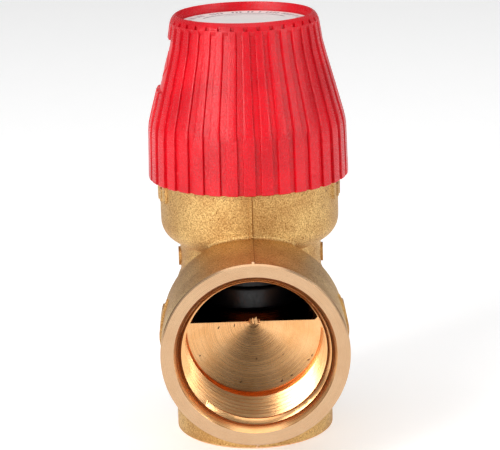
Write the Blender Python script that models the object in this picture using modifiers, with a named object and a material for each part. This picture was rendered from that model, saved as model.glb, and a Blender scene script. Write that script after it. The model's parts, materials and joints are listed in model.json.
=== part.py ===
"""Angle-pattern pressure relief valve, with a membrane-sealed spring chamber and a red test knob.

The inlet is at the bottom and the larger outlet at the front (-Y). Turning the knob anticlockwise drives
it up the ramps of the bonnet, and it lifts the stem, the membrane and the seal off the seat.
Sizes are in millimetres, and the mesh helpers turn them into metres. Heights are measured from the inlet
face, which is also the ground plane. The valve axis stands at AXIS_Y, so that the origin is under the
middle of the whole valve.
"""

import math

import bmesh
import bpy
from mathutils import Matrix, Vector

MM = 0.001
GAP = 0.3  # clearance between pieces that touch or slide on the real valve

# --- overall sizes ---
OUTLET_HEIGHT = 23.6  # outlet axis above the inlet face
OUTLET_REACH = 32.2  # outlet face in front of the valve axis
KNOB_RADIUS = 18.0
KNOB_BASE = 47.7
KNOB_HEIGHT = 29.3
AXIS_Y = (OUTLET_REACH - KNOB_RADIUS) / 2

# --- forged body, outside ---
COLUMN_RADIUS = 14.4
NECK_RADIUS = 12.8
BOSS_RADIUS = 16.1
CUP_RADIUS = 16.1
CUP_TOP = 49.5
CUP_WALL = 1.8
CUP_ROUNDING = 4.0  # radius under the cup
CUP_ROUNDING_ANGLE = 75.0  # degrees that the rounding turns through
CUP_FLOOR_THICK = 2.4  # brass under the ledge
FILLET_STRETCH = 2.0  # height of the neck's fillets, as a share of their width
EDGE_CHAMFER = 0.5

# --- pipe threads, whose major and minor radii are those of G 1/2 and G 3/4 ---
PITCH = 1.814
INLET_MAJOR, INLET_MINOR = 10.48, 9.32
INLET_TURNS = 6
OUTLET_MAJOR, OUTLET_MINOR = 13.22, 12.06
OUTLET_TURNS = 8
MOUTH_CHAMFER = 0.55  # at each mouth
LEAD_IN = 3.0  # depth of the cone that trims the first turns behind the chamfer
MOUTH_SLACK = 0.08  # keeps the cones off the thread's own radii
THREAD_LEAD = 1.3  # how far the thread cutters start outside the face
OUTLET_BORE_DEPTH = 16.2  # from the face to the foot of the blind cone
CONE_SLOPE = 15.0  # degrees, between the blind end and a flat one

# --- seat and chamber ---
SEAT_RISE = 0.8  # seat above the outlet axis
SEAT_RADIUS = 6.8
SEAT_LIP = 1.1
SEAT_FOOT = 8.6
FLOOR_DROP = 1.5  # chamber floor below the outlet axis
CHAMBER_RADIUS = 11.2
LEDGE = 38.1  # ring in the cup on which the membrane lies
PASSAGE_RADIUS = 11.3  # half the width of the passage from the outlet to the chamber
PASSAGE_RISE = 9.5
PASSAGE_TILT = 17.0  # degrees, the way down from the outlet bore to the chamber floor
PASSAGE_LEAD = 4.5  # how far its cutter starts in front of the blind cone's tip
INLET_BORE_END = 12.8  # where the inlet bore begins to narrow to the seat
INLET_NARROW = 3.0

# --- moving stack on the stem ---
STEM_RADIUS = 3.5
SPIGOT_RADIUS = 3.0
SEAL_RADIUS = 9.7
SEAL_THICK = 4.2
HOLDER_THICK = 5.0
HOLDER_NECK_RADIUS = 8.2
MEMBRANE_THICK = 1.0
PLATE_RADIUS = 8.0
PLATE_THICK = 2.0
PLATE_SPIGOT_RADIUS = 5.1
PLATE_SPIGOT_RISE = 1.7
SCREW_SHANK = 1.9
SCREW_SOCKET_RADIUS, SCREW_SOCKET_DEPTH = 1.3, 1.0
KNOB_SCREW_REACH = 8.0  # below the floor of the knob's pocket
STEM_HOLE_SPARE = 1.0  # how far the stem's screw holes run past the screws
SCREW_HEAD = 3.6
SCREW_HEAD_RISE = 1.7
WASHER_RADIUS = 5.2
WASHER_THICK = 0.8
SEAL_WASHER_THICK = 1.0
SEAL_ROUNDING = 0.6
HOLDER_COLLAR = 2.0  # height of the holder's wide lower part
SLIP_RING_THICK = 0.7

# --- bonnet, spring and adjusting nut ---
BONNET_BORE = 9.0
TOWER_RADIUS = 12.0
TOWER_TOP = 66.0
FLANGE_RADIUS = 15.7
FLANGE_THICK = 1.6
SPRING_MEAN = 6.6
WIRE_RADIUS = 1.1
SPRING_TOP = 59.6
ACTIVE_TURNS = 4
END_PITCH = 2.5
NUT_THICK = 4.6
NUT_SLOT_WIDTH = 2.4
NUT_SLOT_DEPTH = 1.8

# --- knob ---
SKIRT_HEIGHT = 9.5
SKIRT_DRAFT = 0.3
SKIRT_WALL = 1.5
CONE_WALL = 1.8
SHOULDER_RADIUS = 13.4
SHOULDER_DROP = 3.0
RIM_RADIUS = 12.0
RECESS_DEPTH = 2.1
DECK_THICK = 2.3
HUB_RADIUS = 6.8
HUB_HEIGHT = 6.4
POCKET_RADIUS = 5.7
POCKET_DEPTH = 3.5
CAM_INNER, CAM_OUTER = 12.9, 15.3
RIBS = 36
GROOVE_WIDTH = 0.8
GROOVE_DEPTH = 0.45
PANEL_ANGLE = 44.0  # degrees, width of the smooth panel on the -X side
PANEL_MIDDLE = 180.0
PANEL_LOW, PANEL_HIGH = 16.0, 25.2  # above the knob's lower edge
PANEL_DEPTH = 0.6
LABEL_THICK = 0.4

# --- lifting cam ---
CAM_TEETH = 4
CAM_RISE_PER_DEGREE = 0.032
RAMP_ANGLE = 80.0
CAM_STEP = 5.0

ROUND = 36  # facets round the large turned shapes
SMALL_ROUND = 24

# --- levels worked out from the sizes above ---
SEAT_TOP = OUTLET_HEIGHT + SEAT_RISE
FLOOR = OUTLET_HEIGHT - FLOOR_DROP
CUP_BORE = CUP_RADIUS - CUP_WALL
SEAL_LOW = SEAT_TOP + GAP
SEAL_TOP = SEAL_LOW + SEAL_THICK
HOLDER_LOW = SEAL_TOP + GAP
HOLDER_TOP = HOLDER_LOW + HOLDER_THICK
MEMBRANE_LOW = HOLDER_TOP + GAP
PLATE_LOW = MEMBRANE_LOW + MEMBRANE_THICK + GAP
PLATE_TOP = PLATE_LOW + PLATE_THICK
STEM_FLANGE_LOW = PLATE_TOP + PLATE_SPIGOT_RISE + GAP
STEM_FLANGE_THICK = 1.5
SCREW_HOLE = SCREW_SHANK + GAP
SPIGOT_HOLE = SPIGOT_RADIUS + GAP
BEAD_LOW = LEDGE + GAP
BEAD_RADIUS = CUP_BORE - GAP
SLIP_LOW = BEAD_LOW + MEMBRANE_THICK + GAP
BONNET_LOW = SLIP_LOW + SLIP_RING_THICK + GAP
FLANGE_LOW = CUP_TOP + GAP
FLANGE_TOP = FLANGE_LOW + FLANGE_THICK
SPRING_WASHER_LOW = SPRING_TOP + GAP
NUT_LOW = SPRING_WASHER_LOW + WASHER_THICK + GAP
KNOB_TOP = KNOB_BASE + KNOB_HEIGHT
RECESS_FLOOR = KNOB_TOP - RECESS_DEPTH
POCKET_FLOOR = RECESS_FLOOR - POCKET_DEPTH
HUB_LOW = RECESS_FLOOR - HUB_HEIGHT
STEM_SHOULDER = HUB_LOW - GAP

# --- finishes: colour, roughness, metallic ---
FINISHES = {
    "forged_brass": ((0.62, 0.42, 0.20, 1), 0.45, 1.0),
    "turned_brass": ((0.78, 0.56, 0.28, 1), 0.25, 1.0),
    "spring_steel": ((0.45, 0.45, 0.47, 1), 0.30, 1.0),
    "zinc_plated_steel": ((0.62, 0.62, 0.60, 1), 0.35, 1.0),
    "black_rubber": ((0.02, 0.02, 0.025, 1), 0.60, 0.0),
    "black_nylon": ((0.03, 0.03, 0.03, 1), 0.50, 0.0),
    "red_abs": ((0.75, 0.02, 0.03, 1), 0.50, 0.0),
    "label_film": ((0.85, 0.85, 0.85, 1), 0.45, 0.0),
}


# ---------- scene and helpers ----------
def clear_scene():
    for obj in list(bpy.data.objects):
        bpy.data.objects.remove(obj, do_unlink=True)


def new_collection(name):
    collection = bpy.data.collections.new(name)
    bpy.context.scene.collection.children.link(collection)
    return collection


def finish_of(name):
    """The named finish as a Principled material."""
    material = bpy.data.materials.get(name)
    if material is None:
        material = bpy.data.materials.new(name)
        material.use_nodes = True
        colour, roughness, metallic = FINISHES[name]
        shader = material.node_tree.nodes["Principled BSDF"]
        shader.inputs["Base Color"].default_value = colour
        shader.inputs["Roughness"].default_value = roughness
        shader.inputs["Metallic"].default_value = metallic
    return material


def add_object(name, mesh, place, finish=None):
    """Link a part, or without a finish a cutter, at a place in millimetres."""
    obj = bpy.data.objects.new(name, mesh)
    obj.location = Vector(place) * MM
    if finish is None:
        cutters.objects.link(obj)
        obj.hide_render = True
        obj.display_type = "WIRE"
    else:
        parts.objects.link(obj)
        mesh.materials.append(finish_of(finish))
    return obj


def on_axis(height=0.0):
    return (0.0, AXIS_Y, height)


def mesh_from(name, bm):
    bmesh.ops.scale(bm, vec=(MM, MM, MM), verts=bm.verts)
    mesh = bpy.data.meshes.new(name)
    bm.to_mesh(mesh)
    bm.free()
    return mesh


def turned(name, profile, place, finish=None, closed=True, steps=ROUND):
    """Turn a profile of (radius, height) about Z. It runs down its outer side, then back up the inner."""
    bm = bmesh.new()
    verts = [bm.verts.new((radius, 0, height)) for radius, height in profile]
    for a, b in zip(verts, verts[1:]):
        bm.edges.new((a, b))
    if closed:
        bm.edges.new((verts[-1], verts[0]))
    obj = add_object(name, mesh_from(name, bm), place, finish)
    screw = obj.modifiers.new("Screw", "SCREW")
    screw.steps = screw.render_steps = steps
    screw.use_merge_vertices = True
    screw.merge_threshold = 1e-6
    return obj


def ring(inner, outer, low, high):
    """Profile of a plain washer."""
    return [(outer, high), (outer, low), (inner, low), (inner, high)]


def boolean(target, other, operation):
    modifier = target.modifiers.new(other.name, "BOOLEAN")
    modifier.operation = operation
    # EXACT leaves the body open where its threads meet their bores
    modifier.solver = "MANIFOLD" if target.name == "valve_body" else "EXACT"
    modifier.object = other


def cut(target, *cutting):
    for other in cutting:
        boolean(target, other, "DIFFERENCE")


def join(target, *added):
    for other in added:
        boolean(target, other, "UNION")


def point_forward(obj):
    """Turn a cutter's own Z axis to run back along +Y, into the body from the outlet face."""
    obj.rotation_euler = (math.radians(-90), 0, 0)
    return obj


def apply_modifiers(obj, sharp_angle=35.0):
    """Keep the finished mesh, shaded smooth except over its sharp edges."""
    graph = bpy.context.evaluated_depsgraph_get()
    mesh = bpy.data.meshes.new_from_object(obj.evaluated_get(graph))
    obj.modifiers.clear()
    obj.data = mesh
    mesh.name = obj.name
    mesh.shade_smooth()
    mesh.set_sharp_from_angle(angle=math.radians(sharp_angle))


def arc(centre, radius, start, end, count):
    """Points on an arc of a profile, with angles in degrees from the outward direction."""
    angles = [math.radians(start + (end - start) * i / count) for i in range(count + 1)]
    return [(centre[0] + radius * math.cos(a), centre[1] + radius * math.sin(a)) for a in angles]


def thread_core(name, minor, major, turns, place, steps=SMALL_ROUND):
    """The solid that cuts an internal V thread about its own Z axis, starting at its place.

    Two helices, one on each radius, are joined by strips. A smaller ring closes each end,
    and one small face at each end makes the thread's start.
    """
    bm = bmesh.new()
    last = turns * steps

    def vert(radius, step, height):
        angle = 2 * math.pi * (step % steps) / steps
        return bm.verts.new((radius * math.cos(angle), radius * math.sin(angle), height))

    inner = [vert(minor, k, PITCH * k / steps) for k in range(last + steps + 1)]
    outer = [vert(major, k, PITCH * (k / steps + 0.5)) for k in range(last + 1)]
    low = [vert(minor - 0.4, j, -PITCH / 4) for j in range(steps)]
    high = [vert(minor - 0.4, j, PITCH * (turns + 1.25)) for j in range(steps)]
    for k in range(last):
        bm.faces.new((inner[k], inner[k + 1], outer[k + 1], outer[k]))
        bm.faces.new((outer[k], outer[k + 1], inner[k + 1 + steps], inner[k + steps]))
    for j in range(steps):
        after = (j + 1) % steps
        bm.faces.new((low[j], low[after], inner[j + 1], inner[j]))
        bm.faces.new((inner[last + j], inner[last + j + 1], high[after], high[j]))
    bm.faces.new((low[0], inner[0], outer[0], inner[steps]))
    bm.faces.new((inner[last], outer[last], inner[last + steps], high[0]))
    bm.faces.new(low)
    bm.faces.new(high)
    bmesh.ops.recalc_face_normals(bm, faces=bm.faces)
    return add_object(name, mesh_from(name, bm), place)


def half_round(name, radius, height, length, place, tilt=0.0):
    """A bar of half-round section, flat side down, running along +Y and down by the tilt."""
    bm = bmesh.new()
    bmesh.ops.create_cone(
        bm, cap_ends=True, segments=ROUND, radius1=radius, radius2=radius, depth=length
    )
    bmesh.ops.translate(bm, vec=(0, 0, length / 2), verts=bm.verts)
    bmesh.ops.rotate(bm, matrix=Matrix.Rotation(math.radians(-90), 3, "X"), verts=bm.verts)
    bmesh.ops.scale(bm, vec=(1, 1, height / radius), verts=bm.verts)
    everything = bm.verts[:] + bm.edges[:] + bm.faces[:]
    sliced = bmesh.ops.bisect_plane(
        bm, geom=everything, plane_co=(0, 0, 0), plane_no=(0, 0, 1), clear_inner=True
    )
    edges = [item for item in sliced["geom_cut"] if isinstance(item, bmesh.types.BMEdge)]
    bmesh.ops.contextual_create(bm, geom=edges)
    bmesh.ops.recalc_face_normals(bm, faces=bm.faces)
    obj = add_object(name, mesh_from(name, bm), place)
    obj.rotation_euler = (math.radians(-tilt), 0, 0)
    return obj


# ---------- body ----------
def column_profile():
    """Outside of the upright part of the forging: inlet boss, neck and cup."""
    fillet = CUP_RADIUS - NECK_RADIUS
    cup_foot = LEDGE - CUP_FLOOR_THICK
    centre = (CUP_RADIUS - CUP_ROUNDING, cup_foot + CUP_ROUNDING + 0.2)
    rounding = arc(centre, CUP_ROUNDING, 0, -CUP_ROUNDING_ANGLE, 6)
    return (
        [(0, CUP_TOP), (CUP_RADIUS - EDGE_CHAMFER, CUP_TOP), (CUP_RADIUS, CUP_TOP - EDGE_CHAMFER)]
        + rounding
        + [
            (NECK_RADIUS, cup_foot - 0.1),
            (NECK_RADIUS, OUTLET_HEIGHT + fillet * FILLET_STRETCH),
            (COLUMN_RADIUS, OUTLET_HEIGHT),
            (COLUMN_RADIUS, EDGE_CHAMFER),
            (COLUMN_RADIUS - EDGE_CHAMFER, 0),
            (0, 0),
        ]
    )


def boss_profile():
    """Outside of the outlet boss about its own axis, from the round back to the face."""
    crown = arc((0, 0), 1.0, 90, 0, 8)
    back = [(BOSS_RADIUS * x, COLUMN_RADIUS * y) for x, y in crown]
    return back + [
        (BOSS_RADIUS, EDGE_CHAMFER / 2 - OUTLET_REACH),
        (BOSS_RADIUS - EDGE_CHAMFER / 2, -OUTLET_REACH),
        (0, -OUTLET_REACH),
    ]


def mouth_profile(major, minor, face):
    """Chamfer at the face, then the lead-in cone, which runs out inside the thread's minor radius."""
    return [
        (0, face + LEAD_IN),
        (minor - MOUTH_SLACK, face + LEAD_IN),
        (major + MOUTH_SLACK, face + MOUTH_CHAMFER),
        (major + MOUTH_SLACK + MOUTH_CHAMFER, face),
        (major + MOUTH_SLACK + MOUTH_CHAMFER + 1, face - 1),
        (0, face - 1),
    ]


def make_body():
    body = turned("valve_body", column_profile(), on_axis(), "forged_brass", closed=False)
    outlet_centre = on_axis(OUTLET_HEIGHT)
    boss = point_forward(turned("boss_form", boss_profile(), outlet_centre, closed=False))
    join(body, boss)

    chamber = [
        (0, CUP_TOP + 1),
        (CUP_BORE, CUP_TOP + 1),
        (CUP_BORE, LEDGE),
        (CHAMBER_RADIUS, LEDGE),
        (CHAMBER_RADIUS, FLOOR),
        (0, FLOOR),
    ]
    cut(body, turned("chamber_cutter", chamber, on_axis(), closed=False))

    face = -OUTLET_REACH
    foot = face + OUTLET_BORE_DEPTH
    bore = OUTLET_MINOR + 0.15
    apex = foot + bore * math.tan(math.radians(CONE_SLOPE))
    end = [(0, apex), (bore, foot), (bore, foot - 1.2), (0, foot - 1.2)]
    outlet_mouth = mouth_profile(OUTLET_MAJOR, OUTLET_MINOR, face)
    blind_end = point_forward(turned("blind_end_cutter", end, outlet_centre, closed=False))
    countersink = point_forward(turned("outlet_mouth_cutter", outlet_mouth, outlet_centre, closed=False))
    thread_start = (0, AXIS_Y + face - THREAD_LEAD, OUTLET_HEIGHT)
    outlet_thread = thread_core(
        "outlet_thread_cutter", OUTLET_MINOR, OUTLET_MAJOR, OUTLET_TURNS, thread_start
    )
    point_forward(outlet_thread)
    cut(body, blind_end, countersink, outlet_thread)

    tilt = math.radians(PASSAGE_TILT)
    start_y, start_z = apex - PASSAGE_LEAD * math.cos(tilt), OUTLET_HEIGHT + PASSAGE_LEAD * math.sin(tilt)
    length = PASSAGE_LEAD + 1.0 - apex - CHAMBER_RADIUS
    slope = half_round(
        "passage_cutter", PASSAGE_RADIUS, PASSAGE_RISE, length,
        (0, AXIS_Y + start_y, start_z), PASSAGE_TILT,
    )
    inside = half_round(
        "passage_back_cutter", PASSAGE_RADIUS - 0.5, PASSAGE_RISE, 0.6 * CHAMBER_RADIUS,
        (0, AXIS_Y - CHAMBER_RADIUS - 0.4, OUTLET_HEIGHT - FLOOR_DROP / 2),
    )
    cut(body, slope, inside)

    seat = [
        (0, SEAT_TOP),
        (SEAT_RADIUS + SEAT_LIP, SEAT_TOP),
        (SEAT_FOOT, FLOOR),
        (SEAT_FOOT, FLOOR - 1),
        (0, FLOOR - 1),
    ]
    join(body, turned("seat_form", seat, on_axis(), closed=False))

    inlet = [
        (0, SEAT_TOP + 1),
        (SEAT_RADIUS, SEAT_TOP + 1),
        (SEAT_RADIUS, INLET_BORE_END + INLET_NARROW),
        (INLET_MINOR + 0.1, INLET_BORE_END),
        (INLET_MINOR + 0.1, INLET_BORE_END - 1.2),
        (0, INLET_BORE_END - 1.2),
    ]
    inlet_mouth = mouth_profile(INLET_MAJOR, INLET_MINOR, 0)
    cut(
        body,
        turned("seat_bore_cutter", inlet, on_axis(), closed=False),
        turned("inlet_mouth_cutter", inlet_mouth, on_axis(), closed=False),
        thread_core("inlet_thread_cutter", INLET_MINOR, INLET_MAJOR, INLET_TURNS, on_axis(-THREAD_LEAD)),
    )


# ---------- what the stem carries ----------
def make_stem_stack():
    washer_top = SEAL_LOW - GAP
    washer_low = washer_top - SEAL_WASHER_THICK
    turned("seal_washer", ring(SCREW_HOLE, WASHER_RADIUS, washer_low, washer_top), on_axis(),
           "zinc_plated_steel", steps=SMALL_ROUND)
    head_top = washer_low - GAP
    stem_low = HOLDER_LOW + GAP
    make_screw("seal_screw", head_top, stem_low + HOLDER_THICK, head_top - SCREW_HEAD_RISE)

    seal = [
        (SEAL_RADIUS - SEAL_ROUNDING, SEAL_TOP),
        (SEAL_RADIUS, SEAL_TOP - SEAL_ROUNDING),
        (SEAL_RADIUS, SEAL_LOW + SEAL_ROUNDING),
        (SEAL_RADIUS - SEAL_ROUNDING, SEAL_LOW),
        (SCREW_HOLE, SEAL_LOW),
        (SCREW_HOLE, SEAL_TOP),
    ]
    turned("disc_seal", seal, on_axis(), "black_rubber")

    collar = HOLDER_LOW + HOLDER_COLLAR
    holder = [
        (HOLDER_NECK_RADIUS, HOLDER_TOP),
        (HOLDER_NECK_RADIUS, collar),
        (SEAL_RADIUS, collar - 0.4),
        (SEAL_RADIUS, HOLDER_LOW),
        (SPIGOT_HOLE, HOLDER_LOW),
        (SPIGOT_HOLE, HOLDER_TOP),
    ]
    turned("disc_holder", holder, on_axis(), "black_nylon")

    plate = [
        (PLATE_SPIGOT_RADIUS, PLATE_TOP + PLATE_SPIGOT_RISE),
        (PLATE_SPIGOT_RADIUS, PLATE_TOP),
        (PLATE_RADIUS, PLATE_TOP),
        (PLATE_RADIUS, PLATE_LOW),
        (SPIGOT_HOLE, PLATE_LOW),
        (SPIGOT_HOLE, PLATE_TOP + PLATE_SPIGOT_RISE),
    ]
    turned("diaphragm_plate", plate, on_axis(), "turned_brass")

    stem_top = POCKET_FLOOR
    flange_top = STEM_FLANGE_LOW + STEM_FLANGE_THICK
    upper_hole = stem_top - KNOB_SCREW_REACH - STEM_HOLE_SPARE
    lower_hole = stem_low + HOLDER_THICK + STEM_HOLE_SPARE
    stem = [
        (SCREW_HOLE, upper_hole),
        (SCREW_HOLE, stem_top),
        (SPIGOT_RADIUS, stem_top),
        (SPIGOT_RADIUS, STEM_SHOULDER),
        (STEM_RADIUS, STEM_SHOULDER),
        (STEM_RADIUS, flange_top),
        (PLATE_SPIGOT_RADIUS - 0.5, flange_top),
        (PLATE_SPIGOT_RADIUS - 0.5, STEM_FLANGE_LOW),
        (SPIGOT_RADIUS, STEM_FLANGE_LOW),
        (SPIGOT_RADIUS, stem_low),
        (SCREW_HOLE, stem_low),
        (SCREW_HOLE, lower_hole),
    ]
    stem = [(0, upper_hole)] + stem + [(0, lower_hole)]
    turned("stem", stem, on_axis(), "turned_brass", closed=False, steps=SMALL_ROUND)


def make_screw(name, seat, tip, head_end):
    """A pan-head screw. Its head lies between the seat and the head end, and its tip on the other side."""
    up = 1 if head_end > seat else -1
    rounding = 0.5
    socket_floor = head_end - up * SCREW_SOCKET_DEPTH
    profile = [
        (0, socket_floor),
        (SCREW_SOCKET_RADIUS, socket_floor),
        (SCREW_SOCKET_RADIUS, head_end),
        (SCREW_HEAD - rounding, head_end),
        (SCREW_HEAD, head_end - up * rounding),
        (SCREW_HEAD, seat),
        (SCREW_SHANK, seat),
        (SCREW_SHANK, tip + up * rounding),
        (SCREW_SHANK - rounding, tip),
        (0, tip),
    ]
    if up < 0:
        profile.reverse()
    turned(name, profile, on_axis(), "zinc_plated_steel", closed=False, steps=16)


def make_diaphragm():
    """Rubber membrane: a bead on the ledge, a sloping wall and a flat middle clamped on the stem."""
    top, low = BEAD_LOW + MEMBRANE_THICK, MEMBRANE_LOW
    thick = MEMBRANE_THICK
    fold_in, fold_out = PLATE_RADIUS + 0.6, CHAMBER_RADIUS - 0.5
    profile = [
        (BEAD_RADIUS, top),
        (BEAD_RADIUS, BEAD_LOW),
        (fold_out + 0.2, BEAD_LOW),
        (fold_out - 0.1, BEAD_LOW - 0.4),
        (fold_in + 0.4, low + 0.3),
        (fold_in, low),
        (SPIGOT_HOLE, low),
        (SPIGOT_HOLE, low + thick),
        (fold_in - 0.4, low + thick),
        (fold_in, low + thick + 0.4),
        (fold_out - 0.9, top - 0.5),
        (fold_out - 0.4, top),
    ]
    turned("diaphragm", profile, on_axis(), "black_rubber")
    slip = ring(CHAMBER_RADIUS - 0.4, BEAD_RADIUS, SLIP_LOW, SLIP_LOW + SLIP_RING_THICK)
    turned("slip_ring", slip, on_axis(), "turned_brass")


# ---------- bonnet, spring and nut ----------
def cam_height(angle):
    """Height of the ramps above their foot, at an angle in degrees."""
    along = angle % (360 / CAM_TEETH)
    top = RAMP_ANGLE * CAM_RISE_PER_DEGREE
    if along <= RAMP_ANGLE:
        return along * CAM_RISE_PER_DEGREE
    return top * (360 / CAM_TEETH - along) / (360 / CAM_TEETH - RAMP_ANGLE)


def cam_ring(name, inner, outer, low, foot):
    """A ring whose upper face has the saw-tooth ramps, from the level low to the ramps over foot."""
    bm = bmesh.new()
    count = round(360 / CAM_STEP)
    columns = []
    for i in range(count):
        angle = i * CAM_STEP
        turn = Matrix.Rotation(math.radians(angle), 3, "Z")
        crest = foot + cam_height(angle)
        corners = ((inner, low), (outer, low), (outer, crest), (inner, crest))
        columns.append([bm.verts.new(turn @ Vector((r, 0, z))) for r, z in corners])
    for here, there in zip(columns, columns[1:] + columns[:1]):
        for a in range(4):
            b = (a + 1) % 4
            bm.faces.new((here[a], there[a], there[b], here[b]))
    bmesh.ops.recalc_face_normals(bm, faces=bm.faces)
    return add_object(name, mesh_from(name, bm), on_axis())


def make_bonnet():
    profile = [
        (TOWER_RADIUS, TOWER_TOP),
        (TOWER_RADIUS, FLANGE_TOP),
        (FLANGE_RADIUS, FLANGE_TOP),
        (FLANGE_RADIUS, FLANGE_LOW),
        (BEAD_RADIUS, FLANGE_LOW),
        (BEAD_RADIUS, BONNET_LOW),
        (BONNET_BORE, BONNET_LOW),
        (BONNET_BORE, TOWER_TOP),
    ]
    bonnet = turned("bonnet", profile, on_axis(), "black_nylon")
    inner = (TOWER_RADIUS + BONNET_BORE) / 2
    join(bonnet, cam_ring("bonnet_ramps", inner, CAM_OUTER, FLANGE_LOW + 0.5, FLANGE_TOP))


def make_spring():
    """Round-wire compression spring with one close turn at each end."""
    low, high = PLATE_TOP + GAP + WIRE_RADIUS, SPRING_TOP - WIRE_RADIUS
    active_pitch = (high - low - 2 * END_PITCH) / ACTIVE_TURNS
    per_turn = 16
    curve = bpy.data.curves.new("main_spring", "CURVE")
    curve.dimensions = "3D"
    curve.bevel_depth = WIRE_RADIUS * MM
    curve.bevel_resolution = 2
    curve.use_fill_caps = True
    spline = curve.splines.new("POLY")
    count = per_turn * (ACTIVE_TURNS + 2)
    spline.points.add(count)
    height = low
    for i in range(count + 1):
        turn = i / per_turn
        angle = 2 * math.pi * turn
        spline.points[i].co = (
            SPRING_MEAN * MM * math.cos(angle), SPRING_MEAN * MM * math.sin(angle), height * MM, 1
        )
        closing = turn < 1 or turn >= ACTIVE_TURNS + 1
        height += (END_PITCH if closing else active_pitch) / per_turn
    spring = bpy.data.objects.new("main_spring", curve)
    spring.location = Vector(on_axis()) * MM
    parts.objects.link(spring)
    curve.materials.append(finish_of("spring_steel"))


def make_adjuster():
    hole = STEM_RADIUS + GAP + 0.1
    washer = ring(hole, BONNET_BORE - GAP - 0.2, SPRING_WASHER_LOW, SPRING_WASHER_LOW + WASHER_THICK)
    turned("spring_washer", washer, on_axis(), "zinc_plated_steel", steps=SMALL_ROUND)
    top = NUT_LOW + NUT_THICK
    nut = turned("adjusting_nut", ring(hole, BONNET_BORE - GAP, NUT_LOW, top), on_axis(), "turned_brass")
    bm = bmesh.new()
    bmesh.ops.create_cube(bm, size=1.0)
    size = (4 * BONNET_BORE, NUT_SLOT_WIDTH, 2 * NUT_SLOT_DEPTH)
    bmesh.ops.scale(bm, vec=size, verts=bm.verts)
    slot = add_object("nut_slot_cutter", mesh_from("nut_slot_cutter", bm), on_axis(top))
    cut(nut, slot)


# ---------- knob ----------
def knob_outline():
    """Outer side of the knob from the rim down, as (radius, height above the base)."""
    shoulder = KNOB_HEIGHT - SHOULDER_DROP
    skirt_top = KNOB_RADIUS - SKIRT_DRAFT
    return [
        (RIM_RADIUS + 0.3, KNOB_HEIGHT),
        (RIM_RADIUS + 0.9, KNOB_HEIGHT - 0.6),
        (SHOULDER_RADIUS - 0.1, KNOB_HEIGHT - 1.6),
        (SHOULDER_RADIUS + 0.05, shoulder),
        (SHOULDER_RADIUS + 0.4, shoulder - 2.2),
        (skirt_top - 0.5, SKIRT_HEIGHT + 2.4),
        (skirt_top - 0.15, SKIRT_HEIGHT + 1.0),
        (skirt_top, SKIRT_HEIGHT),
        (KNOB_RADIUS, 0),
    ]


def knob_radius(height):
    """Radius of the outline at a height above the base."""
    outline = knob_outline()[::-1]
    for (r0, z0), (r1, z1) in zip(outline, outline[1:]):
        if z0 <= height <= z1:
            return r0 + (r1 - r0) * (height - z0) / (z1 - z0)
    return outline[-1][0]


def wedge_strip(bm, middle, angles, heights, depth, proud):
    """Add a closed cutter that follows the outline, from the given depth to proud of it.

    angles are the edges of the strip about the middle, with the share of the depth at each.
    """
    rows = []
    for height in heights:
        surface = knob_radius(min(max(height, 0), KNOB_HEIGHT))
        inside, outside = [], []
        for offset, share in angles:
            turn = Matrix.Rotation(math.radians(middle + offset), 3, "Z")
            inside.append(bm.verts.new(turn @ Vector((surface - depth * share, 0, height))))
            outside.append(bm.verts.new(turn @ Vector((surface + proud, 0, height))))
        rows.append(inside + outside[::-1])
    for here, there in zip(rows, rows[1:]):
        for a in range(len(here)):
            b = (a + 1) % len(here)
            bm.faces.new((here[a], here[b], there[b], there[a]))
    bm.faces.new(rows[0])
    bm.faces.new(rows[-1])


def groove_cutter(heights):
    """All the grooves between the ribs, as V-shaped strips."""
    bm = bmesh.new()
    half = math.degrees(GROOVE_WIDTH / 2 / KNOB_RADIUS)
    for i in range(RIBS):
        middle = (i + 0.5) * 360 / RIBS
        wedge_strip(bm, middle, ((-half, -0.2), (0, 1), (half, -0.2)), heights, GROOVE_DEPTH, 1.0)
    bmesh.ops.recalc_face_normals(bm, faces=bm.faces)
    return add_object("groove_cutter", mesh_from("groove_cutter", bm), on_axis(KNOB_BASE))


def panel_cutter():
    bm = bmesh.new()
    count = 8
    angles = [(PANEL_ANGLE * (i / count - 0.5), 1) for i in range(count + 1)]
    wedge_strip(bm, PANEL_MIDDLE, angles, (PANEL_LOW, PANEL_HIGH), PANEL_DEPTH, 1.0)
    bmesh.ops.recalc_face_normals(bm, faces=bm.faces)
    return add_object("panel_cutter", mesh_from("panel_cutter", bm), on_axis(KNOB_BASE))


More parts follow.
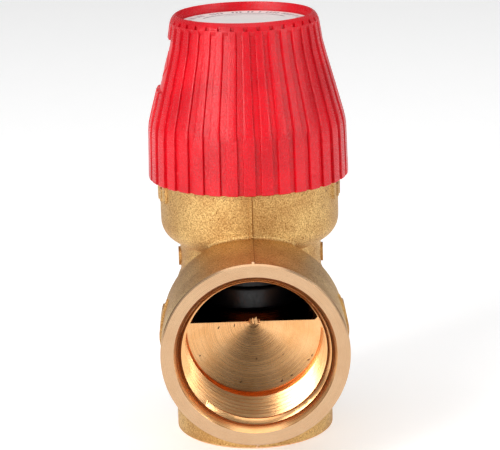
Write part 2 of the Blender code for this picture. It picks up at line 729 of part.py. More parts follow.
def make_knob():
    base = KNOB_BASE
    outer = [(r, base + z) for r, z in knob_outline()]
    ring_low = FLANGE_TOP + GAP
    ring_join = base + SKIRT_HEIGHT + 1.7
    ring_top = ring_join + 2.0
    deck_low = RECESS_FLOOR - DECK_THICK
    inner = [
        (KNOB_RADIUS - SKIRT_WALL, base),
        (KNOB_RADIUS - SKIRT_WALL - 0.1, base + SKIRT_HEIGHT - 1),
        (knob_radius(SKIRT_HEIGHT + 1.7) - CONE_WALL, ring_join),
        (CAM_OUTER, ring_join),
        (CAM_OUTER, ring_low),
        (CAM_INNER, ring_low),
        (CAM_INNER, ring_top),
        (knob_radius(ring_top + 0.6 - base) - CONE_WALL, ring_top + 0.6),
        (knob_radius(deck_low - base) - CONE_WALL, deck_low),
        (HUB_RADIUS, deck_low),
        (HUB_RADIUS, HUB_LOW),
        (SPIGOT_HOLE, HUB_LOW),
        (SPIGOT_HOLE, POCKET_FLOOR),
        (POCKET_RADIUS, POCKET_FLOOR),
        (POCKET_RADIUS, RECESS_FLOOR),
        (RIM_RADIUS, RECESS_FLOOR),
        (RIM_RADIUS, base + KNOB_HEIGHT),
    ]
    knob = turned("knob", outer + inner, on_axis(), "red_abs", steps=RIBS)
    heights = (-1.0, 0.0, SKIRT_HEIGHT, SKIRT_HEIGHT + 2.4, KNOB_HEIGHT - SHOULDER_DROP - 1.0)
    ramps = cam_ring("knob_ramps_cutter", CAM_INNER - 0.4, CAM_OUTER + 0.4, FLANGE_LOW, FLANGE_TOP + GAP)
    cut(knob, groove_cutter(heights), panel_cutter(), ramps)

    washer_low = POCKET_FLOOR + GAP
    washer = ring(SCREW_HOLE, WASHER_RADIUS, washer_low, washer_low + WASHER_THICK)
    turned("knob_washer", washer, on_axis(), "zinc_plated_steel", steps=SMALL_ROUND)
    seat = washer_low + WASHER_THICK + GAP
    make_screw("knob_screw", seat, POCKET_FLOOR - KNOB_SCREW_REACH, seat + SCREW_HEAD_RISE)
    label_low = RECESS_FLOOR + GAP
    label = [(0, label_low + LABEL_THICK), (RIM_RADIUS - GAP, label_low + LABEL_THICK),
             (RIM_RADIUS - GAP, label_low), (0, label_low)]
    turned("label_disc", label, on_axis(), "label_film", closed=False)


clear_scene()
parts = new_collection("pressure_relief_valve")
cutters = new_collection("cutters")
make_body()
make_stem_stack()
make_diaphragm()
make_bonnet()
make_spring()
make_adjuster()
make_knob()
for part in list(parts.objects):
    if part.type == "MESH":
        apply_modifiers(part)
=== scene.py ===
# %% [markdown]
# # Looks of an angle-pattern pressure relief valve
# A hot-forged brass body holds a spring-loaded disc on its seat. The pipe comes in from below and the wider
# outlet faces the viewer. A ribbed red knob on top lifts the disc by hand. The engineering model gives the
# places, and this script gives every piece that shows its finished surface.

# %% Load the fixed frame
import json
import math

import bmesh
import bpy
import numpy as np
from mathutils import Matrix, Vector


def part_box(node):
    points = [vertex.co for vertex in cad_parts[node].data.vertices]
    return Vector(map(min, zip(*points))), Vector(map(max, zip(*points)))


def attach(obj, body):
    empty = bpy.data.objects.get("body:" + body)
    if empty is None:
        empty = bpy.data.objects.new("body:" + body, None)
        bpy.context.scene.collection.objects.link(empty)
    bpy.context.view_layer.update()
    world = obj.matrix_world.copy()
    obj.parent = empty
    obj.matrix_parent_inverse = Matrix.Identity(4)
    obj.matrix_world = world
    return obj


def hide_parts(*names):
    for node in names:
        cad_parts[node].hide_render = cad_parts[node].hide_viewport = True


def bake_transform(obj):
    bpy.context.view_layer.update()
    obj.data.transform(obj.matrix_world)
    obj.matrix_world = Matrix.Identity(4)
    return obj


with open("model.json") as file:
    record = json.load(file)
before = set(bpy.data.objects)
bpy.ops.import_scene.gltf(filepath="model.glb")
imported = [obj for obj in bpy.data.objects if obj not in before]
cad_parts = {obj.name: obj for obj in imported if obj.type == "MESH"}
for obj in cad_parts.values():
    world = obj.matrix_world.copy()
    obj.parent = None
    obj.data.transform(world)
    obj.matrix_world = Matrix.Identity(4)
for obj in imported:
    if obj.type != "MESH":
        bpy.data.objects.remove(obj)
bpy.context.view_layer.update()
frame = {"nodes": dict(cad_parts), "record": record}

print("nodes:", ", ".join(sorted(frame["nodes"])))

# %% [markdown]
# ## Sizes
# Everything is measured in millimetres and turned into metres when a mesh is made. The outside sizes are
# read from the frame, so that the looks follow the frame when it changes. The sizes that a bounding box can't
# tell, such as a bore inside a body, are named here once.

# %% Sizes from the frame
MM = 0.001


def box_mm(node):
    """Lowest and highest corner of a node in millimetres."""
    low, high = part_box(node)
    return low / MM, high / MM


body_low, body_high = box_mm("valve_body")
knob_low, knob_high = box_mm("knob")
label_low, label_high = box_mm("label_disc")
seal_low, seal_high = box_mm("disc_seal")
stem_low, stem_high = box_mm("stem")
mounts = {mount["name"]: Vector(mount["pos_m"]) / MM for mount in frame["record"]["mounts"]}

AXIS_Y = (stem_low.y + stem_high.y) / 2  # the valve axis stands here, at x = 0
FACE_Y = body_low.y  # machined face of the outlet
OUTLET_Z = mounts["outlet_face"].z
REACH = AXIS_Y - FACE_Y
CUP_TOP = body_high.z
KNOB_BASE, KNOB_TOP = knob_low.z, knob_high.z
KNOB_HEIGHT = KNOB_TOP - KNOB_BASE
KNOB_RADIUS = (knob_high.x - knob_low.x) / 2
print(f"valve axis at y {AXIS_Y:.1f}, outlet axis at z {OUTLET_Z:.1f}, knob {KNOB_HEIGHT:.1f} mm high")

# %% [markdown]
# ## Camera
# A small part on a table is usually taken with a long lens from about an arm's length, which keeps its
# upright edges nearly parallel. The camera looks down by a little under 15 degrees, so that the outlet, the
# top of the boss and the label in the knob all show.

# %% Place the camera
CAMERA_DISTANCE = 375.0
CAMERA_RISE = math.radians(14.93)
CAMERA_YAW = math.radians(-0.59)
CAMERA_ROLL = math.radians(-1.62)
AIM = Vector((0, AXIS_Y, 37.94))


def direction(azimuth, elevation):
    """Unit vector from the object towards a viewer. Azimuth 0 faces the outlet and turns to the right."""
    flat = math.cos(elevation)
    return Vector((math.sin(azimuth) * flat, -math.cos(azimuth) * flat, math.sin(elevation)))


back = direction(CAMERA_YAW, CAMERA_RISE)
right = Vector((0, 0, 1)).cross(back).normalized()
up = back.cross(right)
rolled_right = right * math.cos(CAMERA_ROLL) + up * math.sin(CAMERA_ROLL)
rolled_up = up * math.cos(CAMERA_ROLL) - right * math.sin(CAMERA_ROLL)
camera = bpy.data.objects.new("camera", bpy.data.cameras.new("camera"))
bpy.context.scene.collection.objects.link(camera)
camera.data.lens = 148.4
camera.data.sensor_width = 36.0
camera.data.clip_start = 0.01
turn = Matrix((rolled_right, rolled_up, back)).transposed().to_4x4()
camera.matrix_world = Matrix.Translation((AIM + back * CAMERA_DISTANCE) * MM) @ turn
bpy.context.scene.camera = camera
print("camera at", [round(value, 3) for value in camera.location])

# %% [markdown]
# ## Studio
# Turned and blasted brass only shows what stands around it. Two large soft boxes, the brighter one on the
# left, draw the two broad highlights down the knob and the cup. A third one overhead lights the label, and a
# white floor fills the shaded sides from below. The room is dim grey all round, and darker still on the side
# that the camera looks from, which gives the metal its brown middle tones.


# %% Floor, world and lamps
def soft_box(name, azimuth, elevation, distance, size, radiance):
    """A rectangular lamp that looks at the object, as bright in a mirror as its radiance. Sizes in metres."""
    lamp = bpy.data.objects.new(name, bpy.data.lights.new(name, "AREA"))
    lamp.data.shape = "RECTANGLE"
    lamp.data.size, lamp.data.size_y = size
    lamp.data.energy = radiance * math.pi * size[0] * size[1]
    away = direction(math.radians(azimuth), math.radians(elevation))
    lamp.location = AIM * MM + away * distance
    lamp.rotation_euler = away.to_track_quat("Z", "Y").to_euler()
    bpy.context.scene.collection.objects.link(lamp)


FLOOR_SIZE = 6.0
bm = bmesh.new()
bmesh.ops.create_grid(bm, x_segments=1, y_segments=1, size=FLOOR_SIZE / 2)
floor_mesh = bpy.data.meshes.new("floor")
bm.to_mesh(floor_mesh)
bm.free()
studio_floor = bpy.data.objects.new("floor", floor_mesh)
bpy.context.scene.collection.objects.link(studio_floor)

world = bpy.data.worlds.new("studio")
world.use_nodes = True
bpy.context.scene.world = world
sky = world.node_tree
sky.nodes["Background"].inputs["Color"].default_value = (1, 1, 1, 1)
toward = sky.nodes.new("ShaderNodeTexCoord").outputs["Generated"]
facing = sky.nodes.new("ShaderNodeVectorMath")
facing.operation = "DOT_PRODUCT"
facing.inputs[1].default_value = direction(math.radians(8), math.radians(16))
sky.links.new(toward, facing.inputs[0])
shade = sky.nodes.new("ShaderNodeMapRange")
shade.interpolation_type = "SMOOTHSTEP"
for socket, value in (("From Min", 0.92), ("From Max", 0.98), ("To Min", 0.30), ("To Max", 0.14)):
    shade.inputs[socket].default_value = value
sky.links.new(facing.outputs["Value"], shade.inputs["Value"])
sky.links.new(shade.outputs["Result"], sky.nodes["Background"].inputs["Strength"])
bpy.context.scene.view_settings.view_transform = "Standard"

soft_box("key_box", -42, 22, 0.8, (0.32, 0.50), 9.0)
soft_box("fill_box", 60, 20, 0.8, (0.18, 0.50), 7.5)
soft_box("top_box", 0, 84, 0.8, (0.8, 0.6), 1.6)

# %% [markdown]
# ## Material helpers
# Colours are written as the hex values that a colour picker shows, and Blender's shaders want linear light,
# so one function converts them. Pattern scales are worked out from real sizes: a Noise texture of scale 1
# has features about one unit wide, and a unit is a metre here.


# %% Colours, nodes and scales
def colour(hex_code):
    """Linear RGBA of an sRGB hex colour."""
    parts = [int(hex_code[i : i + 2], 16) / 255 for i in (1, 3, 5)]
    return tuple(c / 12.92 if c <= 0.04045 else ((c + 0.055) / 1.055) ** 2.4 for c in parts) + (1,)


def add_node(tree, kind, inputs=None, **settings):
    """Add a node, set its properties, then set each input to a value or link it to an output socket."""
    node = tree.nodes.new(kind)
    for name, value in settings.items():
        setattr(node, name, value)
    for name, value in (inputs or {}).items():
        if isinstance(value, bpy.types.NodeSocket):
            tree.links.new(value, node.inputs[name])
        else:
            node.inputs[name].default_value = value
    return node


def per_metre(size_mm):
    """Texture scale whose features are this many millimetres wide."""
    return 1 / (size_mm * MM)


def new_material(name, hex_code, roughness, metallic=0.0):
    """A Principled material, its node tree and its shader."""
    material = bpy.data.materials.new(name)
    material.use_nodes = True
    tree = material.node_tree
    shader = tree.nodes["Principled BSDF"]
    shader.inputs["Base Color"].default_value = colour(hex_code)
    shader.inputs["Roughness"].default_value = roughness
    shader.inputs["Metallic"].default_value = metallic
    return material, tree, shader


FACTOR, FIRST, SECOND, RESULT = 0, 6, 7, 2  # sockets of a Mix node that mixes colours


# %% [markdown]
# ## Brass: blasted forging
# The body is hot-forged CW617N brass. The scale from the furnace is blasted off with fine steel shot, which
# leaves a dense grain of tiny dents. Each dent throws its own little glint, and the dents are also painted
# brown, as painted shade in the dents, so the surface sparkles between straw yellow and brown while it
# stays soft overall. A fine noise through a Bump node makes the dents, drawn 0.25 mm wide, coarser than
# real ones, so that they show. A wider noise shifts the colour, and a sharp threshold of a third noise
# leaves small dark pits. A thin dark line is painted on one side of the ridge where the die halves met:
# painted shade beside the ridge.


# %% Forged brass
def forged_brass():
    material, tree, shader = new_material("forged_brass_blasted", "#D0A868", 0.5, 1.0)
    place = add_node(tree, "ShaderNodeTexCoord").outputs["Object"]
    dents = add_node(
        tree, "ShaderNodeTexNoise",
        {"Vector": place, "Scale": per_metre(0.25), "Detail": 3.0, "Roughness": 0.65},
    )
    broad = add_node(
        tree, "ShaderNodeTexNoise",
        {"Vector": place, "Scale": per_metre(7.0), "Detail": 4.0, "Roughness": 0.6},
    )
    pits = add_node(
        tree, "ShaderNodeTexNoise",
        {"Vector": place, "Scale": per_metre(0.45), "Detail": 2.0, "Roughness": 0.5},
    )
    tone = add_node(
        tree, "ShaderNodeMapRange", {"Value": broad.outputs["Fac"], "From Min": 0.35, "From Max": 0.65}
    )
    base = add_node(
        tree, "ShaderNodeMix",
        {FACTOR: tone.outputs["Result"], FIRST: colour("#D2A668"), SECOND: colour("#F0CC88")},
        data_type="RGBA",
    )
    grain = add_node(
        tree, "ShaderNodeMapRange", {"Value": dents.outputs["Fac"], "From Min": 0.30, "From Max": 0.62}
    )
    # The dents are painted brown: painted shade in the dents.
    dent_shaded = add_node(
        tree, "ShaderNodeMix",
        {FACTOR: grain.outputs["Result"], FIRST: colour("#9E6A34"), SECOND: base.outputs[RESULT]},
        data_type="RGBA",
    )
    pitted = add_node(
        tree, "ShaderNodeMapRange", {"Value": pits.outputs["Fac"], "From Min": 0.27, "From Max": 0.34}
    )
    final = add_node(
        tree, "ShaderNodeMix",
        {FACTOR: pitted.outputs["Result"], FIRST: colour("#7A4E22"), SECOND: dent_shaded.outputs[RESULT]},
        data_type="RGBA",
    )
    # A thin line 0.3 mm to one side of the flash ridge is painted darker: painted shade beside the ridge.
    across = add_node(tree, "ShaderNodeSeparateXYZ", {"Vector": place}).outputs["X"]
    ridge_shade_line = add_node(
        tree, "ShaderNodeMath", {0: across, 1: 0.30 * MM, 2: 0.07 * MM}, operation="COMPARE"
    )
    ridge_shaded = add_node(
        tree, "ShaderNodeMix",
        {FACTOR: ridge_shade_line.outputs["Value"], FIRST: final.outputs[RESULT], SECOND: colour("#A87640")},
        data_type="RGBA",
    )
    rough = add_node(
        tree, "ShaderNodeMapRange",
        {"Value": dents.outputs["Fac"], "From Min": 0.3, "From Max": 0.7, "To Min": 0.56, "To Max": 0.38},
    )
    bump = add_node(
        tree, "ShaderNodeBump", {"Height": dents.outputs["Fac"], "Distance": 0.15 * MM, "Strength": 1.0}
    )
    tree.links.new(ridge_shaded.outputs[RESULT], shader.inputs["Base Color"])
    tree.links.new(rough.outputs["Result"], shader.inputs["Roughness"])
    tree.links.new(bump.outputs["Normal"], shader.inputs["Normal"])
    return material


brass_skin = forged_brass()
print("made", brass_skin.name)

# %% [markdown]
# ## Brass: turned faces
# The outlet face, the bores and the threads are cut on a lathe. The tool leaves rings about its own axis,
# and rings stretch a highlight across themselves. A texture that only depends on the distance from the axis
# draws the rings, and the shader's anisotropy with a tangent that runs round the axis bends the highlight.
# The rings are drawn 0.16 mm apart, wider than real ones, so that they show. The bore's brass is more
# golden. The outlet's face is a darker, paler copy of the turned brass, as painted shade, and the
# chamber's copy is painted dark brown, as painted shade deep inside the body.


# %% Turned brass
def turned_brass(name, centre, axis, hex_code="#EAC6A2", warm="#DAA466", ring_mm=0.16):
    """Lathe-cut brass about an axis, given by a point and a direction."""
    material, tree, shader = new_material(name, hex_code, 0.24, 1.0)
    shader.inputs["Anisotropic"].default_value = 0.25
    place = add_node(tree, "ShaderNodeTexCoord").outputs["Object"]
    from_axis = add_node(
        tree, "ShaderNodeVectorMath", {0: place, 1: tuple(Vector(centre) * MM)}, operation="SUBTRACT"
    )
    around = add_node(
        tree, "ShaderNodeVectorMath",
        {0: tuple(axis), 1: from_axis.outputs["Vector"]}, operation="CROSS_PRODUCT",
    )
    radius = add_node(
        tree, "ShaderNodeVectorMath", {0: around.outputs["Vector"]}, operation="LENGTH"
    ).outputs["Value"]
    along = add_node(
        tree, "ShaderNodeVectorMath",
        {0: tuple(axis), 1: from_axis.outputs["Vector"]}, operation="DOT_PRODUCT",
    ).outputs["Value"]
    profile = add_node(tree, "ShaderNodeCombineXYZ", {"X": radius, "Y": along})
    rings = add_node(
        tree, "ShaderNodeTexNoise",
        {"Vector": profile.outputs["Vector"], "Scale": per_metre(ring_mm), "Detail": 1.0, "Roughness": 0.5},
    )
    blotches = add_node(
        tree, "ShaderNodeTexNoise",
        {"Vector": place, "Scale": per_metre(3.0), "Detail": 5.0, "Roughness": 0.65},
    )
    tone = add_node(
        tree, "ShaderNodeMapRange",
        {"Value": blotches.outputs["Fac"], "From Min": 0.38, "From Max": 0.66, "To Max": 0.5},
    )
    base = add_node(
        tree, "ShaderNodeMix",
        {FACTOR: tone.outputs["Result"], FIRST: colour(hex_code), SECOND: colour(warm)},
        data_type="RGBA",
    )
    rough = add_node(
        tree, "ShaderNodeMapRange",
        {"Value": rings.outputs["Fac"], "From Min": 0.3, "From Max": 0.7, "To Min": 0.20, "To Max": 0.32},
    )
    bump = add_node(
        tree, "ShaderNodeBump", {"Height": rings.outputs["Fac"], "Distance": 0.0016 * MM, "Strength": 0.5}
    )
    tree.links.new(base.outputs[RESULT], shader.inputs["Base Color"])
    tree.links.new(rough.outputs["Result"], shader.inputs["Roughness"])
    tree.links.new(bump.outputs["Normal"], shader.inputs["Normal"])
    tree.links.new(around.outputs["Vector"], shader.inputs["Tangent"])
    return material


outlet_cut = turned_brass("turned_brass_bore", (0, AXIS_Y, OUTLET_Z), (0, 1, 0), "#EEB880", "#DC9A58")
# The face is a darker, paler copy of the turned brass: painted shade on the outlet's face.
face_shaded_cut = turned_brass("turned_brass_face_painted_shade", (0, AXIS_Y, OUTLET_Z), (0, 1, 0), "#CDA883", "#C39A74")
upright_cut = turned_brass("turned_brass_upright", (0, AXIS_Y, 0), (0, 0, 1))
# The chamber's brass is painted dark brown: painted shade deep inside the body.
chamber_shaded_cut = turned_brass("turned_brass_painted_shade", (0, AXIS_Y, 0), (0, 0, 1), "#4A2E1C", "#5A3418")
print("made", outlet_cut.name, "and", upright_cut.name)

# %% [markdown]
# ## Red ABS: spark-eroded grain
# The knob is moulded in a steel die whose surface was eroded by sparks. The plastic copies that surface as
# an even, sandy grain, so highlights break into pale specks. One fine noise gives both the bump and the
# roughness. It is drawn 0.24 mm wide, coarser than the real grain, so that it shows.


# %% Moulded plastics and rubber
def moulded(name, hex_code, roughness, grain_mm, depth_mm, spread=0.1, darker="#000000"):
    """A moulded surface with an even grain, whose dips may be painted darker, as painted shade."""
    material, tree, shader = new_material(name, hex_code, roughness)
    place = add_node(tree, "ShaderNodeTexCoord").outputs["Object"]
    grain = add_node(
        tree, "ShaderNodeTexNoise",
        {"Vector": place, "Scale": per_metre(grain_mm), "Detail": 2.0, "Roughness": 0.6},
    )
    cloud = add_node(
        tree, "ShaderNodeTexNoise", {"Vector": place, "Scale": per_metre(9.0), "Detail": 3.0}
    )
    rough = add_node(
        tree, "ShaderNodeMapRange",
        {
            "Value": grain.outputs["Fac"], "From Min": 0.3, "From Max": 0.7,
            "To Min": roughness + spread, "To Max": roughness - spread,
        },
    )
    # Dips of the grain, and broad random cloud patches, take the darker colour: painted shade in the dips.
    mixed = add_node(
        tree, "ShaderNodeMath", {0: grain.outputs["Fac"], 1: cloud.outputs["Fac"]}, operation="ADD"
    )
    tone = add_node(
        tree, "ShaderNodeMapRange", {"Value": mixed.outputs["Value"], "From Min": 0.85, "From Max": 1.15}
    )
    base = add_node(
        tree, "ShaderNodeMix",
        {FACTOR: tone.outputs["Result"], FIRST: colour(darker), SECOND: colour(hex_code)},
        data_type="RGBA",
    )
    bump = add_node(
        tree, "ShaderNodeBump",
        {"Height": grain.outputs["Fac"], "Distance": depth_mm * MM, "Strength": 0.8},
    )
    tree.links.new(base.outputs[RESULT], shader.inputs["Base Color"])
    tree.links.new(rough.outputs["Result"], shader.inputs["Roughness"])
    tree.links.new(bump.outputs["Normal"], shader.inputs["Normal"])
    return material


red_abs = moulded("red_abs_spark_eroded", "#DE0E20", 0.25, 0.24, 0.12, darker="#C00618")
red_shader = red_abs.node_tree.nodes["Principled BSDF"]
red_shader.inputs["IOR"].default_value = 1.54
red_shader.inputs["Specular IOR Level"].default_value = 0.32
red_smooth = moulded("red_abs_polished", "#DE1420", 0.34, 0.5, 0.01, spread=0.04, darker="#D8101C")
black_nylon = moulded("black_nylon_glass_filled", "#17171A", 0.46, 0.35, 0.03, darker="#101012")
black_rubber = moulded("nitrile_rubber_moulded", "#0E0E12", 0.38, 0.6, 0.008, darker="#0A0A0D")
label_film = moulded("printed_film_satin", "#F2F1EF", 0.42, 0.8, 0.004, darker="#ECEBE8")
label_ink = moulded("printing_ink_grey", "#77787E", 0.5, 0.8, 0.004, darker="#6C6D73")
floor_paint = moulded("studio_floor_matt", "#FAFAFA", 0.8, 2.0, 0.0, spread=0.05, darker="#F8F8F8")
floor_shader = floor_paint.node_tree.nodes["Principled BSDF"]
floor_shader.inputs["Emission Color"].default_value = (1, 1, 1, 1)
floor_shader.inputs["Emission Strength"].default_value = 0.32
studio_floor.data.materials.append(floor_paint)
zinc_steel = turned_brass("zinc_plated_steel_turned", (0, AXIS_Y, 0), (0, 0, 1), "#B9BBC0", "#A9ABB0", 0.2)
print("made the plastics, the rubber and the label")

# %% [markdown]
# ## Mesh helpers
# Nearly every piece of a valve is turned or moulded about one axis, so its surface is a row of rings joined
# into a skin. A ring can be a plain circle, or its points can be pushed in and out, which makes ribs. A ring
# of a single point closes a shape on its axis.


# %% Skins, turned pieces and cuts
def object_from(name, bm):
    """Put a built-up mesh into the scene as an object, with its faces turned outwards."""
    bmesh.ops.recalc_face_normals(bm, faces=bm.faces)
    mesh = bpy.data.meshes.new(name)
    bm.to_mesh(mesh)
    bm.free()
    obj = bpy.data.objects.new(name, mesh)
    bpy.context.scene.collection.objects.link(obj)
    return obj


def skin(name, rings, loop=False):
    """Join rings of points, in millimetres, into one closed surface."""
    bm = bmesh.new()
    made = [[bm.verts.new(Vector(point) * MM) for point in ring] for ring in rings]
    pairs = list(zip(made, made[1:]))
    if loop:
        pairs.append((made[-1], made[0]))
    for here, there in pairs:
        count = max(len(here), len(there))
        for i in range(count):
            j = (i + 1) % count
            corners = [here[i % len(here)], here[j % len(here)], there[j % len(there)], there[i % len(there)]]
            bm.faces.new(list(dict.fromkeys(corners)))
    return object_from(name, bm)


def circle(radius, height, steps):
    """One ring, or the single point on the axis when the radius is 0."""
    if radius == 0:
        return [(0, 0, height)]
    angles = [2 * math.pi * i / steps for i in range(steps)]
    return [(radius * math.cos(a), radius * math.sin(a), height) for a in angles]


LYING = Matrix.Rotation(math.radians(-90), 4, "X")  # turns a piece's own +Z to +Y, away from the outlet face


def turned(name, profile, steps=96, place=(0, AXIS_Y, 0), lying=False):
    """A turned piece from its (radius, height) outline, closed on the axis if its ends have radius 0."""
    rings = [circle(radius, height, steps) for radius, height in profile]
    obj = skin(name, rings, loop=profile[0][0] > 0)
    if lying:
        obj.data.transform(LYING)
    obj.data.transform(Matrix.Translation(Vector(place) * MM))
    return obj


def arc(centre, radius, start, end, count=6):
    """Points of a profile on an arc, with angles in degrees from the outward direction."""
    angles = [math.radians(start + (end - start) * i / count) for i in range(count + 1)]
    return [(centre[0] + radius * math.cos(a), centre[1] + radius * math.sin(a)) for a in angles]


def combine(target, tool, operation="DIFFERENCE"):
    modifier = target.modifiers.new(tool.name, "BOOLEAN")
    modifier.operation = operation
    modifier.solver = "MANIFOLD"
    modifier.object = tool


def settle(obj, tools=(), sharp=None):
    """Apply modifiers and remove the tools. With an angle, shade smooth but for sharper edges."""
    graph = bpy.context.evaluated_depsgraph_get()
    mesh = bpy.data.meshes.new_from_object(obj.evaluated_get(graph))
    obj.modifiers.clear()
    obj.data = mesh
    mesh.name = obj.name
    for tool in tools:
        bpy.data.objects.remove(tool)
    if sharp is not None:
        mesh.shade_smooth()
        mesh.set_sharp_from_angle(angle=math.radians(sharp))
    return obj


def finish_with(obj, *materials):
    obj.data.materials.clear()
    for material in materials:
        obj.data.materials.append(material)


# %% [markdown]
# ## Body: the rough forging
# A forging die can't have sharp inner corners, so the outlet boss, the neck and the cup flow into each other.
# A voxel remesh melts the two turned shapes into one skin, and a Smooth modifier rounds where they meet.
# Both shapes run past the faces that are machined later, as the real blank does.

# %% Melt the column and the boss together
CUP_RADIUS = 16.1
NECK_RADIUS = 12.8
COLUMN_RADIUS = 14.4
BOSS_RADIUS = 16.1
LEDGE = 38.1  # ring inside the cup that carries the membrane
SPARE = 2.0  # stock left on the faces that are cut
VOXEL = 0.32

CUP_ROUNDING, CUP_FLOOR_THICK = 4.0, 2.4
cup_foot = LEDGE - CUP_FLOOR_THICK
column_profile = (
    [(0, CUP_TOP + SPARE), (CUP_RADIUS, CUP_TOP + SPARE)]
    + arc((CUP_RADIUS - CUP_ROUNDING, cup_foot + CUP_ROUNDING + 0.2), CUP_ROUNDING, 0, -75, 8)
    + [
        (NECK_RADIUS, cup_foot - 0.1),
        (NECK_RADIUS, OUTLET_Z + 6.6),
        (COLUMN_RADIUS, OUTLET_Z),
        (COLUMN_RADIUS, -SPARE),
        (0, -SPARE),
    ]
)
BOSS_LENGTH = 18.2  # full-round part of the boss, behind its face
boss_step = BOSS_LENGTH - REACH
boss_back = arc((0, 0), COLUMN_RADIUS, 90, 0, 12)
boss_back[0] = (0, COLUMN_RADIUS)
boss_profile = boss_back + [
    (COLUMN_RADIUS, boss_step + 0.7), (BOSS_RADIUS - 0.25, boss_step), (BOSS_RADIUS, boss_step - 0.4),
    (BOSS_RADIUS, -REACH - SPARE), (0, -REACH - SPARE),
]
outlet_centre = (0, AXIS_Y, OUTLET_Z)


def melted(name, *shapes):
    """One smooth skin over overlapping shapes."""
    bm = bmesh.new()
    for shape in shapes:
        bm.from_mesh(shape.data)
        bpy.data.objects.remove(shape)
    mesh = bpy.data.meshes.new(name)
    bm.to_mesh(mesh)
    bm.free()
    obj = bpy.data.objects.new(name, mesh)
    bpy.context.scene.collection.objects.link(obj)
    remesh = obj.modifiers.new("Melt", "REMESH")
    remesh.mode = "VOXEL"
    remesh.voxel_size = VOXEL * MM
    soften = obj.modifiers.new("Soften", "SMOOTH")
    soften.factor = 0.5
    soften.iterations = 3
    return settle(obj)


column = turned("column", column_profile, 120)
boss = turned("boss", boss_profile, 120, outlet_centre, lying=True)
brass_body = melted("brass_body", column, boss)
print("forging:", len(brass_body.data.polygons), "faces")

# %% [markdown]
# ## Body: flash line and raised marks
# Where the two halves of the die meet, metal squeezes out and is trimmed, which leaves a thin ridge down the
# middle. Marks that are sunk into the die stand proud of the part. Both are the same form, swollen a little
# and kept only inside an outline, so they follow every curve. The marks here are plain: a flow arrow on each
# side of the outlet, a round pad on the neck and a row of bars on the cup.

# %% Raise the flash line and the marks
FLASH_RISE, FLASH_WIDTH = 0.28, 0.45
MARK_RISE = 0.38
MARK_REACH = 60.0


def swollen(source, rise):
    copy = bpy.data.objects.new("swollen", source.data.copy())
    bpy.context.scene.collection.objects.link(copy)
    push = copy.modifiers.new("Swell", "DISPLACE")
    push.mid_level = 0.0
    push.strength = rise * MM
    return copy


def prism(outline, half_width):
    """A bar across the valve with this (y, z) outline."""
    rings = [[(x, y, z) for y, z in outline] for x in (-half_width, half_width)]
    bm = bmesh.new()
    made = [[bm.verts.new(Vector(point) * MM) for point in ring] for ring in rings]
    count = len(outline)
    for i in range(count):
        j = (i + 1) % count
        bm.faces.new((made[0][i], made[0][j], made[1][j], made[1][i]))
    bm.faces.new(made[0])
    bm.faces.new(made[1])
    return object_from("prism", bm)


def raise_inside(target, rise, outlines, half_width):
    """Raise the target's surface where a bar with one of the outlines crosses it."""
    forms, tools = [], []
    for outline in outlines:
        form = swollen(target, rise)
        bar = prism(outline, half_width)
        combine(form, bar, "INTERSECT")
        tools.append(bar)
        forms.append(form)
    bpy.context.view_layer.update()
    for form in forms:
        combine(target, form, "UNION")
    return settle(target, forms + tools)


def arrow_outline(tip, tail, centre, head, shaft, head_length):
    """A flow arrow along Y, with half heights for its head and its shaft."""
    return [
        (tip, centre), (tip + head_length, centre + head), (tip + head_length, centre + shaft),
        (tail, centre + shaft), (tail, centre - shaft), (tip + head_length, centre - shaft),
        (tip + head_length, centre - head),
    ]


def pad_outline(y, z, half_y, half_z, corner=0.8):
    """A rectangle with rounded corners."""
    points = []
    for turn_start, sy, sz in ((0, 1, 1), (90, -1, 1), (180, -1, -1), (270, 1, -1)):
        corner_points = arc((y + sy * (half_y - corner), z + sz * (half_z - corner)), corner,
                            turn_start, turn_start + 90, 4)
        points += corner_points
    return points


outlet_arrow = arrow_outline(FACE_Y + 8.0, FACE_Y + 18.0, OUTLET_Z + 2.5, 4.2, 1.8, 4.5)
cup_bars = [
    pad_outline(AXIS_Y + (step - 3) * 2.0, 45.0 + tall / 2, 0.55, 1.1 + tall / 2, 0.5)
    for step, tall in enumerate((1.2, 0.4, 1.2, 0.8, 0.2, 1.2, 0.6))
]
neck_pad = pad_outline(AXIS_Y, 32.6, 1.7, 1.7, 1.6)
flash_outline = [(-80, -20), (80, -20), (80, 120), (-80, 120)]
raise_inside(brass_body, MARK_RISE, [outlet_arrow, neck_pad] + cup_bars, MARK_REACH)
raise_inside(brass_body, FLASH_RISE, [flash_outline], FLASH_WIDTH / 2)
BODY_FINISHES = (brass_skin, outlet_cut, upright_cut, chamber_shaded_cut, face_shaded_cut)
finish_with(brass_body, *BODY_FINISHES)
print("with marks:", len(brass_body.data.polygons), "faces")

# %% [markdown]
# ## Body: machining
# The blank is then clamped and cut: the outlet face with its fine chamfer, the countersink, a blind bore
# that ends in the drill's shallow cone, and the inside thread. The thread is a true helix, made as the solid
# of the tap that cuts it. The faces that a tool leaves keep the tool's own material slot, so each cut comes
# out as turned brass.

# %% Turned cutters
PITCH = 1.814  # both pipe threads have 14 turns to the inch
INLET_MAJOR, INLET_MINOR, INLET_TURNS = 10.48, 9.32, 6
OUTLET_MAJOR, OUTLET_MINOR, OUTLET_TURNS = 13.22, 12.06, 8
MOUTH_CHAMFER, LEAD_IN = 0.55, 3.0
THREAD_LEAD = 1.3
OUTLET_BORE_DEPTH = 16.2
CONE_SLOPE = math.radians(15.0)
FINE = 144  # facets round a machined surface
OUTLET_SLOT, UPRIGHT_SLOT, CHAMBER_SLOT, FACE_SLOT = 1, 2, 3, 4  # slot 0 is the forged skin


def as_cutter(obj, slot):
    """Give a tool the body's slots, with its own faces in one of them."""
    finish_with(obj, *BODY_FINISHES)
    for face in obj.data.polygons:
        face.material_index = slot
    return obj


